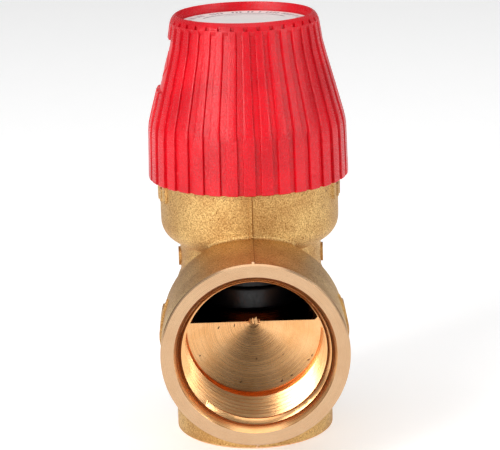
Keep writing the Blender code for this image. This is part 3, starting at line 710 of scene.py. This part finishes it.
def thread_core(name, minor, major, turns, steps=FINE):
    """The solid of a tap: a V-shaped helix on a core, from height 0, with a plain end on each side."""
    # radius and share of the pitch
    shape = [(minor, 0.0), (minor, 0.05), (major, 0.50), (major, 0.55), (minor, 0.95)]
    bm = bmesh.new()
    last = turns * steps

    def vert(radius, step, height):
        angle = 2 * math.pi * (step % steps) / steps
        return bm.verts.new(Vector((radius * math.cos(angle), radius * math.sin(angle), height)) * MM)

    lines = []
    for index, (radius, share) in enumerate(shape):
        length = last + (steps if index == 0 else 0)
        lines.append([vert(radius, k, PITCH * (k / steps + share)) for k in range(length + 1)])
    first = lines[0]
    low = [vert(minor - 0.4, j, -PITCH / 4) for j in range(steps)]
    high = [vert(minor - 0.4, j, PITCH * (turns + 1.25)) for j in range(steps)]

    def section(k):
        return [line[k] for line in lines] + [first[k + steps]]

    for k in range(last):
        here, there = section(k), section(k + 1)
        for a in range(len(shape)):
            bm.faces.new((here[a], there[a], there[a + 1], here[a + 1]))
    for j in range(steps):
        after = (j + 1) % steps
        bm.faces.new((low[j], low[after], first[j + 1], first[j]))
        bm.faces.new((first[last + j], first[last + j + 1], high[after], high[j]))
    bm.faces.new([low[0]] + section(0))
    bm.faces.new(section(last) + [high[0]])
    bm.faces.new(low)
    bm.faces.new(high)
    return object_from(name, bm)


FACING_OVERLAP = 2.5  # a facing tool is this much wider than its face, and no more, to spare what is near


def facing_tool(radius, face, reach, chamfer):
    """What a facing tool takes off in front of a face, with a chamfer round its outer edge."""
    rim = radius + FACING_OVERLAP
    return [(0, face - reach), (rim, face - reach), (rim, face + FACING_OVERLAP + chamfer),
            (radius - chamfer, face), (0, face)]


def mouth_tool(major, minor, face):
    """A narrow chamfer at the face, then a long lead-in cone that trims the first turns of the thread."""
    return [
        (0, face + LEAD_IN), (minor - 0.05, face + LEAD_IN), (major + 0.08, face + MOUTH_CHAMFER),
        (major + 0.08 + MOUTH_CHAMFER, face), (major + 1.08 + MOUTH_CHAMFER, face - 1), (0, face - 1),
    ]


face = -REACH
foot = face + OUTLET_BORE_DEPTH
bore = OUTLET_MINOR + 0.15
apex = foot + bore * math.tan(CONE_SLOPE)
outlet_tools = [
    turned("outlet_facing", facing_tool(BOSS_RADIUS, face, 6.0, 0.3), FINE, outlet_centre, lying=True),
    turned("blind_bore", [(0, apex), (bore, foot), (bore, foot - 1.2), (0, foot - 1.2)], FINE,
           outlet_centre, lying=True),
    turned("outlet_mouth", mouth_tool(OUTLET_MAJOR, OUTLET_MINOR, face), FINE, outlet_centre, lying=True),
]
outlet_tap = thread_core("outlet_tap", OUTLET_MINOR, OUTLET_MAJOR, OUTLET_TURNS)
outlet_tap.data.transform(LYING)
outlet_tap.data.transform(Matrix.Translation(Vector((0, FACE_Y - THREAD_LEAD, OUTLET_Z)) * MM))
outlet_tools.append(outlet_tap)
# The facing leaves the face slot, whose brass is painted darker as shade.
for tool in outlet_tools:
    as_cutter(tool, FACE_SLOT if tool.name.endswith("facing") else OUTLET_SLOT)
    combine(brass_body, tool)
settle(brass_body, outlet_tools)
print("outlet cut:", len(brass_body.data.polygons), "faces")

# %% [markdown]
# ## Body: chamber, passage and seat
# The blind bore only breaks into the seat chamber above its own axis, through a sloping half-round passage.
# That leaves the straight edge across the outlet, with a ragged burr where the drill's point once was. Behind
# it the chamber holds a raised seat with a narrow lip, and the inlet bore comes up through it.

# %% Upright cuts and the passage
CUP_BORE = 14.3
CHAMBER_RADIUS = 11.2
FLOOR_Z = OUTLET_Z - 1.5
SEAT_Z = OUTLET_Z + 0.8
SEAT_RADIUS, SEAT_LIP, SEAT_FOOT = 6.8, 1.1, 8.6
INLET_BORE_END, INLET_NARROW = 12.8, 3.0
PASSAGE_RADIUS, PASSAGE_RISE, PASSAGE_TILT, PASSAGE_LEAD = 11.3, 9.5, math.radians(17.0), 4.5


def half_round(name, radius, rise, length, place, tilt=0.0, corner=0.5):
    """A milling cut of half-round section that runs along +Y and down by the tilt."""
    outline = arc((0, 0), 1.0, 0, 180, 48)
    section = [(radius * x, rise * z) for x, z in outline]
    section[0], section[-1] = (radius, corner), (-radius, 0.0)
    section.append((radius - corner, 0.0))
    bm = bmesh.new()
    made = [[bm.verts.new(Vector((x, y, z)) * MM) for x, z in section] for y in (0, length)]
    count = len(section)
    for i in range(count):
        j = (i + 1) % count
        bm.faces.new((made[0][i], made[0][j], made[1][j], made[1][i]))
    bm.faces.new(made[0])
    bm.faces.new(made[1])
    obj = object_from(name, bm)
    obj.data.transform(Matrix.Rotation(-tilt, 4, "X"))
    obj.data.transform(Matrix.Translation(Vector(place) * MM))
    return obj


chamber = [(0, CUP_TOP + 4), (CUP_BORE, CUP_TOP + 4), (CUP_BORE, LEDGE), (CHAMBER_RADIUS, LEDGE),
           (CHAMBER_RADIUS, FLOOR_Z), (0, FLOOR_Z)]
cup_facing = [(0, CUP_TOP + 6), (2 * CUP_RADIUS, CUP_TOP + 6), (2 * CUP_RADIUS, CUP_TOP), (0, CUP_TOP)]
start_y = apex - PASSAGE_LEAD * math.cos(PASSAGE_TILT)
start_z = OUTLET_Z + PASSAGE_LEAD * math.sin(PASSAGE_TILT)
passage_length = PASSAGE_LEAD + 1.0 - apex - CHAMBER_RADIUS
chamber_tools = [
    turned("chamber_bore", chamber, FINE),
    turned("cup_facing", cup_facing, FINE),
    turned("inlet_facing", facing_tool(COLUMN_RADIUS, 0, 6.0, 0.35), FINE),
    half_round("passage", PASSAGE_RADIUS, PASSAGE_RISE, passage_length,
               (0, AXIS_Y + start_y, start_z), PASSAGE_TILT),
    half_round("passage_back", PASSAGE_RADIUS - 0.5, PASSAGE_RISE, 0.6 * CHAMBER_RADIUS,
               (0, AXIS_Y - CHAMBER_RADIUS - 0.4, OUTLET_Z - 0.75)),
]
# Besides the facings, the tools leave the chamber slot, whose brass is painted dark brown as shade.
for tool in chamber_tools:
    as_cutter(tool, UPRIGHT_SLOT if tool.name.endswith("facing") else CHAMBER_SLOT)
    combine(brass_body, tool)
settle(brass_body, chamber_tools)

seat = [(0, SEAT_Z), (SEAT_RADIUS + 0.7, SEAT_Z), (SEAT_RADIUS + SEAT_LIP, SEAT_Z - 0.4),
        (SEAT_FOOT, FLOOR_Z), (SEAT_FOOT, FLOOR_Z - 1), (0, FLOOR_Z - 1)]
inlet = [(0, SEAT_Z + 1), (SEAT_RADIUS, SEAT_Z + 1), (SEAT_RADIUS, INLET_BORE_END + INLET_NARROW),
         (INLET_MINOR + 0.1, INLET_BORE_END), (INLET_MINOR + 0.1, INLET_BORE_END - 1.2),
         (0, INLET_BORE_END - 1.2)]
# The seat takes the chamber slot too, painted dark brown as shade.
seat_form = as_cutter(turned("seat_form", seat, FINE), CHAMBER_SLOT)
inlet_tap = thread_core("inlet_tap", INLET_MINOR, INLET_MAJOR, INLET_TURNS)
inlet_tap.data.transform(Matrix.Translation(Vector((0, AXIS_Y, -THREAD_LEAD)) * MM))
inlet_tools = [
    turned("inlet_bore", inlet, FINE),
    turned("inlet_mouth", mouth_tool(INLET_MAJOR, INLET_MINOR, 0), FINE),
    inlet_tap,
]
combine(brass_body, seat_form, "UNION")
for tool in inlet_tools:
    as_cutter(tool, UPRIGHT_SLOT)
    combine(brass_body, tool)
settle(brass_body, inlet_tools + [seat_form], sharp=32)
counts = np.bincount([face.material_index for face in brass_body.data.polygons], minlength=5)
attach(brass_body, "root")
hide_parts("valve_body")
print("body done:", len(brass_body.data.polygons), "faces, by slot", counts.tolist())

# %% [markdown]
# ## Body: drill burr and chips
# Where the milling cutter broke through the drill's cone, it left a ragged curl of brass at the old centre.
# A few thin chips still stick to the cone in a film of oil; they take the chamber's brass, painted dark
# brown as shade. The burr is a torn leaf: rows of points, the upper ones uneven. Each chip is a small
# tapered sliver that lies on the cone at its own angle.

# %% Tear the burr
BURR_TEETH = [(-1.6, 0.05), (-1.2, 0.26), (-0.9, 0.12), (-0.6, 0.66), (-0.35, 0.34), (-0.1, 0.80),
              (0.1, 0.42), (0.3, 0.70), (0.55, 0.90), (0.75, 0.30), (1.0, 0.48), (1.25, 0.10), (1.8, 0.04)]
CHIPS = [  # degrees from straight down, distance from the axis, length, width, and lean of each chip
    (40, 0.9, 1.0, 0.16, 35), (25, 11.2, 0.6, 0.30, 60), (35, 11.3, 0.35, 0.25, 10), (56, 11.5, 0.4, 0.2, 30),
    (61, 11.6, 0.35, 0.18, 70), (-86, 6.2, 0.5, 0.12, 60), (-84, 3.4, 0.45, 0.12, 70),
    (3, 6.4, 0.45, 0.22, 90), (-14, 10.6, 0.7, 0.14, 40), (-62, 10.9, 0.3, 0.15, 20),
    (42, 7.6, 0.3, 0.14, 15),
]
CHIP_THICK = 0.12
burr_y = AXIS_Y + apex
bm = bmesh.new()
rows = []
for depth, share in ((0.0, -0.5), (0.18, -0.5), (0.30, 1.0), (0.12, 1.0)):
    rows.append([bm.verts.new(Vector((x, burr_y - 0.35 + depth + 0.2 * x * x * (share > 0),
                                      OUTLET_Z + rise * share)) * MM) for x, rise in BURR_TEETH])
for here, there in zip(rows, rows[1:] + rows[:1]):
    for i in range(len(BURR_TEETH) - 1):
        bm.faces.new((here[i], here[i + 1], there[i + 1], there[i]))
bm.faces.new([row[0] for row in rows])
bm.faces.new([row[-1] for row in rows][::-1])
burr_faces = len(bm.faces)
for angle, distance, length, width, lean in CHIPS:
    away, tilt = math.radians(angle), math.radians(lean)
    middle = Vector((distance * math.sin(away), burr_y - distance * math.tan(CONE_SLOPE) - 0.03,
                     OUTLET_Z - distance * math.cos(away)))
    ends = []
    for depth in (0, -CHIP_THICK):
        ends.append([bm.verts.new((middle + Vector((
            u * length / 2 * math.cos(tilt) - v * width / 2 * math.sin(tilt), depth,
            u * length / 2 * math.sin(tilt) + v * width / 2 * math.cos(tilt),
        ))) * MM) for u, v in ((-1, -1), (1, -0.4), (1, 0.6), (-1, 1))])
    back, front = ends
    for i in range(4):
        bm.faces.new((back[i], back[(i + 1) % 4], front[(i + 1) % 4], front[i]))
    bm.faces.new(back)
    bm.faces.new(front)
drill_burr = object_from("drill_burr", bm)
# The chips take slot 1, the brass that is painted dark brown as shade.
finish_with(drill_burr, outlet_cut, chamber_shaded_cut)
for polygon in drill_burr.data.polygons:
    polygon.material_index = int(polygon.index >= burr_faces)
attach(drill_burr, "root")
print("burr:", len(drill_burr.data.polygons), "faces")

# %% [markdown]
# ## Knob: ribs on a skirt and a cone
# The grip has 36 grooves, ten degrees apart, that run from the lower edge up the skirt and the cone and fade
# out at the shoulder. A small square pocket sits above each rib. The outline, the grooves and the pockets
# are one skin: every ring has the same columns, and a column moves inwards where it lies in a groove or in a
# pocket. That gives crisp edges without a single Boolean.

# %% Knob rings
RIBS = 36
RIB_STEP = 360 / RIBS
GROOVE_WALL, EDGE_ROUND = 0.10, 0.10
SKIRT_HEIGHT = 9.5
GROOVE_FADE = 0.7  # the last stretch, where a groove runs out
GROOVE_END = 27.9  # above the knob's base
POCKET_LOW, POCKET_HIGH, POCKET_BACK, POCKET_HALF = 28.0, 28.68, 12.74, 0.36

outline_points = [
    (0.0, 17.85), (0.15, 18.0), (4.0, 17.9), (8.6, 17.78), (9.5, 17.7), (10.0, 17.63), (10.5, 17.52),
    (11.2, 17.36), (11.9, 17.18), (14.0, 16.6), (16.5, 15.92), (19.0, 15.22), (21.5, 14.52), (24.1, 13.86),
    (25.4, 13.66), (26.4, 13.5), (27.4, 13.34), (28.0, 13.22), (28.5, 13.02), (28.9, 12.74), (29.15, 12.46),
    (29.3, 12.2),
]


def outline_radius(height):
    heights, radii = zip(*outline_points)
    return float(np.interp(height, heights, radii))


def groove_shape(height):
    """Half width in degrees and depth of the grooves at a height above the base."""
    half = np.interp(height, (0, SKIRT_HEIGHT, SKIRT_HEIGHT + 1.2, GROOVE_END), (1.75, 1.75, 2.15, 2.3))
    fades = (SKIRT_HEIGHT, SKIRT_HEIGHT + 1.5, GROOVE_END - GROOVE_FADE, GROOVE_END)
    depth = np.interp(height, fades, (0.5, 0.4, 0.4, 0))
    return float(half), float(depth)


def rib_columns(radius, height):
    """(angle, share of the groove's depth, share of the pocket's depth) all round, for one ring."""
    half, _ = groove_shape(height)
    wall, edge, pocket = (math.degrees(size / radius) for size in (GROOVE_WALL, EDGE_ROUND, POCKET_HALF))
    groove_side = [(half - wall, 1.0, 0.0), (half, 0.12, 0.0), (half + edge, 0.0, 0.0)]
    pocket_side = [(RIB_STEP / 2 - pocket, 0.0, 0.0), (RIB_STEP / 2 - 0.85 * pocket, 0.0, 1.0)]
    columns = []
    for index in range(RIBS):
        middle = (index + 0.5) * RIB_STEP
        rising = groove_side + pocket_side
        columns.append((middle, 1.0, 0.0))
        columns += [(middle + angle, groove, hollow) for angle, groove, hollow in rising]
        columns.append((middle + RIB_STEP / 2, 0.0, 1.0))
        columns += [(middle + RIB_STEP - angle, groove, hollow) for angle, groove, hollow in rising[::-1]]
    return columns


def ribbed_ring(height):
    radius = outline_radius(height)
    _, depth = groove_shape(height)
    hollow_depth = radius - POCKET_BACK if POCKET_LOW < height < POCKET_HIGH else 0.0
    points = []
    for angle, groove, hollow in rib_columns(radius, height):
        reach = radius - depth * groove - hollow_depth * hollow
        turn_angle = math.radians(angle)
        points.append((reach * math.cos(turn_angle), reach * math.sin(turn_angle), KNOB_BASE + height))
    return points


print(len(rib_columns(KNOB_RADIUS, 0)), "columns round the knob")

# %% [markdown]
# ## Knob: rim, hub and lifting ramps
# The same columns carry on over the rim into the shallow recess for the label, down through the hub, and
# along the inside to the ring of four ramps that ride on the bonnet. There the height of a ring follows
# the ramps, a rise of 0.032 mm for each degree.

# %% Build the knob
RECESS_RADIUS, RECESS_DEPTH = 12.0, 2.1
POCKET_RADIUS, POCKET_DEPTH = 5.7, 3.5
HUB_RADIUS, HUB_HEIGHT, HUB_HOLE = 6.8, 6.4, 3.3
DECK_THICK, CONE_WALL, SKIRT_WALL = 2.3, 1.8, 1.5
CAM_INNER, CAM_OUTER, CAM_FOOT = 12.9, 15.3, 51.7
CAM_TEETH, CAM_RISE, RAMP_ANGLE = 4, 0.032, 80.0
SHARED_RADIUS = 15.0  # inside, the columns keep the angles that they have on a ring of this radius


def ramp_rise(angle):
    along = angle % (360 / CAM_TEETH)
    if along <= RAMP_ANGLE:
        return along * CAM_RISE
    return RAMP_ANGLE * CAM_RISE * (360 / CAM_TEETH - along) / (360 / CAM_TEETH - RAMP_ANGLE)


def plain_ring(radius, height, on_ramps=False):
    points = []
    for angle, _, _ in rib_columns(SHARED_RADIUS, 0):
        turn_angle = math.radians(angle)
        rise = ramp_rise(angle) if on_ramps else 0.0
        points.append((radius * math.cos(turn_angle), radius * math.sin(turn_angle), height + rise))
    return points


recess_floor = KNOB_TOP - RECESS_DEPTH
pocket_floor = recess_floor - POCKET_DEPTH
hub_low = recess_floor - HUB_HEIGHT
deck_low = recess_floor - DECK_THICK
ring_join = KNOB_BASE + SKIRT_HEIGHT + 1.7
ring_top = ring_join + 2.0

pocket_rows = (POCKET_LOW, POCKET_LOW + 0.02, POCKET_HIGH - 0.02, POCKET_HIGH)
extra_rows = (2.0, 6.0, 12.9, 15.2, 17.8, 20.2, 22.8, GROOVE_END - GROOVE_FADE, GROOVE_END)
heights = sorted({height for height, _ in outline_points} | set(pocket_rows) | set(extra_rows))
outside = [ribbed_ring(height) for height in heights]
inner_profile = [
    (RECESS_RADIUS + 0.05, KNOB_TOP - 0.04), (RECESS_RADIUS, KNOB_TOP - 0.15),
    (RECESS_RADIUS, recess_floor + 0.3), (RECESS_RADIUS - 0.3, recess_floor),
    (POCKET_RADIUS + 0.2, recess_floor), (POCKET_RADIUS, recess_floor - 0.2), (POCKET_RADIUS, pocket_floor),
    (HUB_HOLE, pocket_floor), (HUB_HOLE, hub_low), (HUB_RADIUS - 0.2, hub_low), (HUB_RADIUS, hub_low + 0.2),
    (HUB_RADIUS, deck_low), (outline_radius(deck_low - KNOB_BASE) - CONE_WALL, deck_low),
    (outline_radius(ring_top + 0.6 - KNOB_BASE) - CONE_WALL, ring_top + 0.6), (CAM_INNER, ring_top),
]
inside = [plain_ring(radius, height) for radius, height in inner_profile]
inside += [plain_ring(CAM_INNER, CAM_FOOT, True), plain_ring(CAM_OUTER, CAM_FOOT, True)]
inside += [
    plain_ring(radius, height)
    for radius, height in (
        (CAM_OUTER, ring_join),
        (outline_radius(SKIRT_HEIGHT + 1.7) - CONE_WALL, ring_join),
        (KNOB_RADIUS - SKIRT_WALL - 0.1, KNOB_BASE + SKIRT_HEIGHT - 1),
        (KNOB_RADIUS - SKIRT_WALL, KNOB_BASE + 0.2),
        (KNOB_RADIUS - SKIRT_WALL + 0.2, KNOB_BASE),
    )
]
red_knob = skin("red_knob", outside + inside, loop=True)
red_knob.data.transform(Matrix.Translation(Vector((0, AXIS_Y, 0)) * MM))
print("knob:", len(red_knob.data.polygons), "faces")

# %% [markdown]
# ## Knob: the smooth panel
# One side of the grip has a sunk, polished panel. It carries a plain arrow that shows which way to turn the
# knob. The panel's tool follows the cone at a constant depth. The arrow is drawn flat, cut into small faces,
# and bent round the cone, because a straight extrusion would leave its ends in the air.

# %% Sink the panel and add the arrow
PANEL_MIDDLE, PANEL_ANGLE = 180.0, 44.0
PANEL_LOW, PANEL_HIGH, PANEL_DEPTH = 16.0, 25.2, 0.6
ARROW_RISE = 0.1
SMOOTH_SLOT = 1  # slot 0 is the grained plastic


def on_cone(angle, height, inward):
    """A point at an angle and a height on the knob, some way under its outline."""
    reach = outline_radius(height) - inward
    turn_angle = math.radians(angle)
    return Vector((reach * math.cos(turn_angle), AXIS_Y + reach * math.sin(turn_angle), KNOB_BASE + height))


def bent_block(name, angles, levels, inward, outward):
    """A block that follows the cone, as a grid of angles and heights with an inner and an outer side."""
    bm = bmesh.new()
    sides = []
    for depth in (inward, outward):
        sides.append([[bm.verts.new(on_cone(a, h, depth) * MM) for a in angles] for h in levels])
    rows, columns = len(levels), len(angles)
    for side in sides:
        for r in range(rows - 1):
            for c in range(columns - 1):
                bm.faces.new((side[r][c], side[r][c + 1], side[r + 1][c + 1], side[r + 1][c]))
    inner, outer = sides
    edge = [(0, c) for c in range(columns)] + [(r, columns - 1) for r in range(1, rows)]
    edge += [(rows - 1, c) for c in range(columns - 2, -1, -1)] + [(r, 0) for r in range(rows - 2, 0, -1)]
    for (r0, c0), (r1, c1) in zip(edge, edge[1:] + edge[:1]):
        bm.faces.new((inner[r0][c0], inner[r1][c1], outer[r1][c1], outer[r0][c0]))
    return object_from(name, bm)


panel_angles = list(np.linspace(PANEL_MIDDLE - PANEL_ANGLE / 2, PANEL_MIDDLE + PANEL_ANGLE / 2, 45))
panel_levels = list(np.linspace(PANEL_LOW, PANEL_HIGH, 9))
panel_tool = bent_block("panel_tool", panel_angles, panel_levels, PANEL_DEPTH, -1.0)
finish_with(red_knob, red_abs, red_smooth)
finish_with(panel_tool, red_abs, red_smooth)
for polygon in panel_tool.data.polygons:
    polygon.material_index = SMOOTH_SLOT
combine(red_knob, panel_tool)
settle(red_knob, [panel_tool], sharp=30)
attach(red_knob, "knob")
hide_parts("knob")

panel_middle_height = (PANEL_LOW + PANEL_HIGH) / 2


def arrow_half_width(angle):
    """Half height of the arrow at an angle from the panel's middle: a shaft, then a head to the right."""
    if -14 <= angle <= 4:
        return 0.75
    return max(0.02, 2.3 * (14 - angle) / 10) if angle > 4 else 0.0


arrow_angles = [-14, -11, -8, -5, -2, 1, 4, 4.05, 6, 8, 10, 12, 14]
bm = bmesh.new()
layers = []
for depth in (PANEL_DEPTH + 0.15, PANEL_DEPTH - ARROW_RISE):
    layers.append([
        [bm.verts.new(on_cone(PANEL_MIDDLE + a, panel_middle_height + s * arrow_half_width(a), depth) * MM)
         for s in (-1, 0, 1)]
        for a in arrow_angles
    ])
for layer in layers:
    for here, there in zip(layer, layer[1:]):
        for k in range(2):
            bm.faces.new((here[k], there[k], there[k + 1], here[k + 1]))
under, over = layers
border = [(i, 0) for i in range(len(arrow_angles))] + [(len(arrow_angles) - 1, 1)]
border += [(i, 2) for i in range(len(arrow_angles) - 1, -1, -1)] + [(0, 1)]
for (i0, k0), (i1, k1) in zip(border, border[1:] + border[:1]):
    bm.faces.new((under[i0][k0], under[i1][k1], over[i1][k1], over[i0][k0]))
turn_arrow = object_from("turn_arrow", bm)
finish_with(turn_arrow, red_smooth)
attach(turn_arrow, "knob")
print("knob done:", len(red_knob.data.polygons), "faces")

# %% [markdown]
# ## Label
# A disc of printed film lies in the recess. Real ones carry wording, which is left out here: a ring of
# short dashes and a few thin arcs stand in for it. The disc is a grid of fine faces about its
# middle, and a face takes the ink when its centre falls inside a mark.

# %% Printed disc
LABEL_RADIUS = (label_high.x - label_low.x) / 2
LABEL_STEPS = 360
label_rings = [0.6 + 0.2 * i for i in range(int((LABEL_RADIUS - 0.6) / 0.2))]


def is_ink(radius, angle):
    """Whether a mark is printed at a radius and an angle in degrees."""
    dash = int(angle / 4.0)
    dashes = 9.5 < radius < 10.7 and angle % 4.0 < 2.4 and dash % 7 != 5 and dash % 5 != 2
    thin_arc = 8.2 < radius < 8.5 and 30 < angle % 180 < 150
    hair_line = 6.9 < radius < 7.1 and 60 < angle % 180 < 120
    return dashes or thin_arc or hair_line


FILM_THICK, FILM_EDGE = 0.16, 0.04
film_top = label_low.z + FILM_THICK
profile = [(0, label_low.z), (LABEL_RADIUS - FILM_EDGE, label_low.z), (LABEL_RADIUS, label_low.z + FILM_EDGE),
           (LABEL_RADIUS, film_top - FILM_EDGE), (LABEL_RADIUS - FILM_EDGE, film_top)]
profile += [(radius, film_top) for radius in label_rings[::-1]] + [(0, film_top)]
printed_label = turned("printed_label", profile, LABEL_STEPS)
finish_with(printed_label, label_film, label_ink)
inked = 0
for polygon in printed_label.data.polygons:
    x, y = polygon.center.x / MM, polygon.center.y / MM - AXIS_Y
    if polygon.normal.z > 0.9 and is_ink(math.hypot(x, y), math.degrees(math.atan2(y, x)) % 360):
        polygon.material_index = 1
        inked += 1
settle(printed_label, sharp=30)
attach(printed_label, "knob")
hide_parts("label_disc")
print("label:", inked, "inked faces")

# %% [markdown]
# ## Inside: seal, membrane and spring
# The rubber disc shows through the outlet as a dark drum. The membrane above it keeps water out of the
# spring. Both the membrane and the spring reach from the fixed body to the moving stem.

# %% Seal disc
SEAL_RADIUS = (seal_high.x - seal_low.x) / 2
SCREW_HOLE, SEAL_ROUNDING = 2.2, 0.6
seal_profile = (
    [(SCREW_HOLE, seal_high.z)]
    + arc((SEAL_RADIUS - SEAL_ROUNDING, seal_high.z - SEAL_ROUNDING), SEAL_ROUNDING, 90, 0)
    + arc((SEAL_RADIUS - SEAL_ROUNDING, seal_low.z + SEAL_ROUNDING), SEAL_ROUNDING, 0, -90)
    + [(SCREW_HOLE, seal_low.z)]
)
rubber_disc = settle(turned("rubber_disc", seal_profile, 120), sharp=40)
finish_with(rubber_disc, black_rubber)
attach(rubber_disc, "stem")
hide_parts("disc_seal")

# %% Spring
spring_low, spring_high = box_mm("main_spring")
SPRING_MEAN, WIRE_RADIUS = 6.6, 1.1
END_PITCH, ACTIVE_TURNS, PER_TURN = 2.5, 4, 40
curve = bpy.data.curves.new("spring_wire", "CURVE")
curve.dimensions = "3D"
curve.bevel_depth = WIRE_RADIUS * MM
curve.bevel_resolution = 4
curve.use_fill_caps = True
wire_low, wire_high = spring_low.z + WIRE_RADIUS, spring_high.z - WIRE_RADIUS
active_pitch = (wire_high - wire_low - 2 * END_PITCH) / ACTIVE_TURNS
spline = curve.splines.new("POLY")
count = PER_TURN * (ACTIVE_TURNS + 2)
spline.points.add(count)
height = wire_low
for i in range(count + 1):
    turn_count = i / PER_TURN
    angle = 2 * math.pi * turn_count
    x, y = SPRING_MEAN * math.cos(angle), AXIS_Y + SPRING_MEAN * math.sin(angle)
    spline.points[i].co = (x * MM, y * MM, height * MM, 1)
    closing = turn_count < 1 or turn_count >= ACTIVE_TURNS + 1
    height += (END_PITCH if closing else active_pitch) / PER_TURN
wire = bpy.data.objects.new("spring_wire", curve)
bpy.context.scene.collection.objects.link(wire)
graph = bpy.context.evaluated_depsgraph_get()
coil = bpy.data.objects.new("steel_spring", bpy.data.meshes.new_from_object(wire.evaluated_get(graph)))
bpy.context.scene.collection.objects.link(coil)
bpy.data.objects.remove(wire)
coil.data.shade_smooth()
finish_with(coil, zinc_steel)
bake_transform(coil)
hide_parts("main_spring")
print("spring:", len(coil.data.polygons), "faces")

# %% Membrane
membrane_low, membrane_high = box_mm("diaphragm")
BEAD_RADIUS = (membrane_high.x - membrane_low.x) / 2
MEMBRANE_THICK = 1.0
bead_low = membrane_high.z - MEMBRANE_THICK
fold_in, fold_out = 8.6, 10.7
membrane_profile = [
    (BEAD_RADIUS, membrane_high.z), (BEAD_RADIUS, bead_low), (fold_out + 0.2, bead_low),
    (fold_out - 0.1, bead_low - 0.4), (fold_in + 0.4, membrane_low.z + 0.3), (fold_in, membrane_low.z),
    (3.3, membrane_low.z), (3.3, membrane_low.z + MEMBRANE_THICK),
    (fold_in - 0.4, membrane_low.z + MEMBRANE_THICK), (fold_in, membrane_low.z + MEMBRANE_THICK + 0.4),
    (fold_out - 0.9, membrane_high.z - 0.5), (fold_out - 0.4, membrane_high.z),
]
membrane = settle(turned("rubber_membrane", membrane_profile, 96), sharp=40)
finish_with(membrane, black_rubber)
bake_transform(membrane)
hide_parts("diaphragm")

# %% [markdown]
# ## Finishes of the inner pieces
# The remaining pieces keep their exact shapes from the frame and only change their material: turned brass
# for the stem and the nut, zinc-plated steel for screws and washers, black nylon for the bonnet.

# %% Give the inner pieces their finish
INNER_FINISHES = {
    "stem": upright_cut, "diaphragm_plate": upright_cut, "slip_ring": upright_cut,
    "adjusting_nut": upright_cut, "seal_washer": zinc_steel, "seal_screw": zinc_steel,
    "knob_washer": zinc_steel, "knob_screw": zinc_steel,
    "spring_washer": zinc_steel, "disc_holder": black_nylon, "bonnet": black_nylon,
}
for node, material in INNER_FINISHES.items():
    finish_with(frame["nodes"][node], material)
print("finished", len(INNER_FINISHES), "inner pieces")
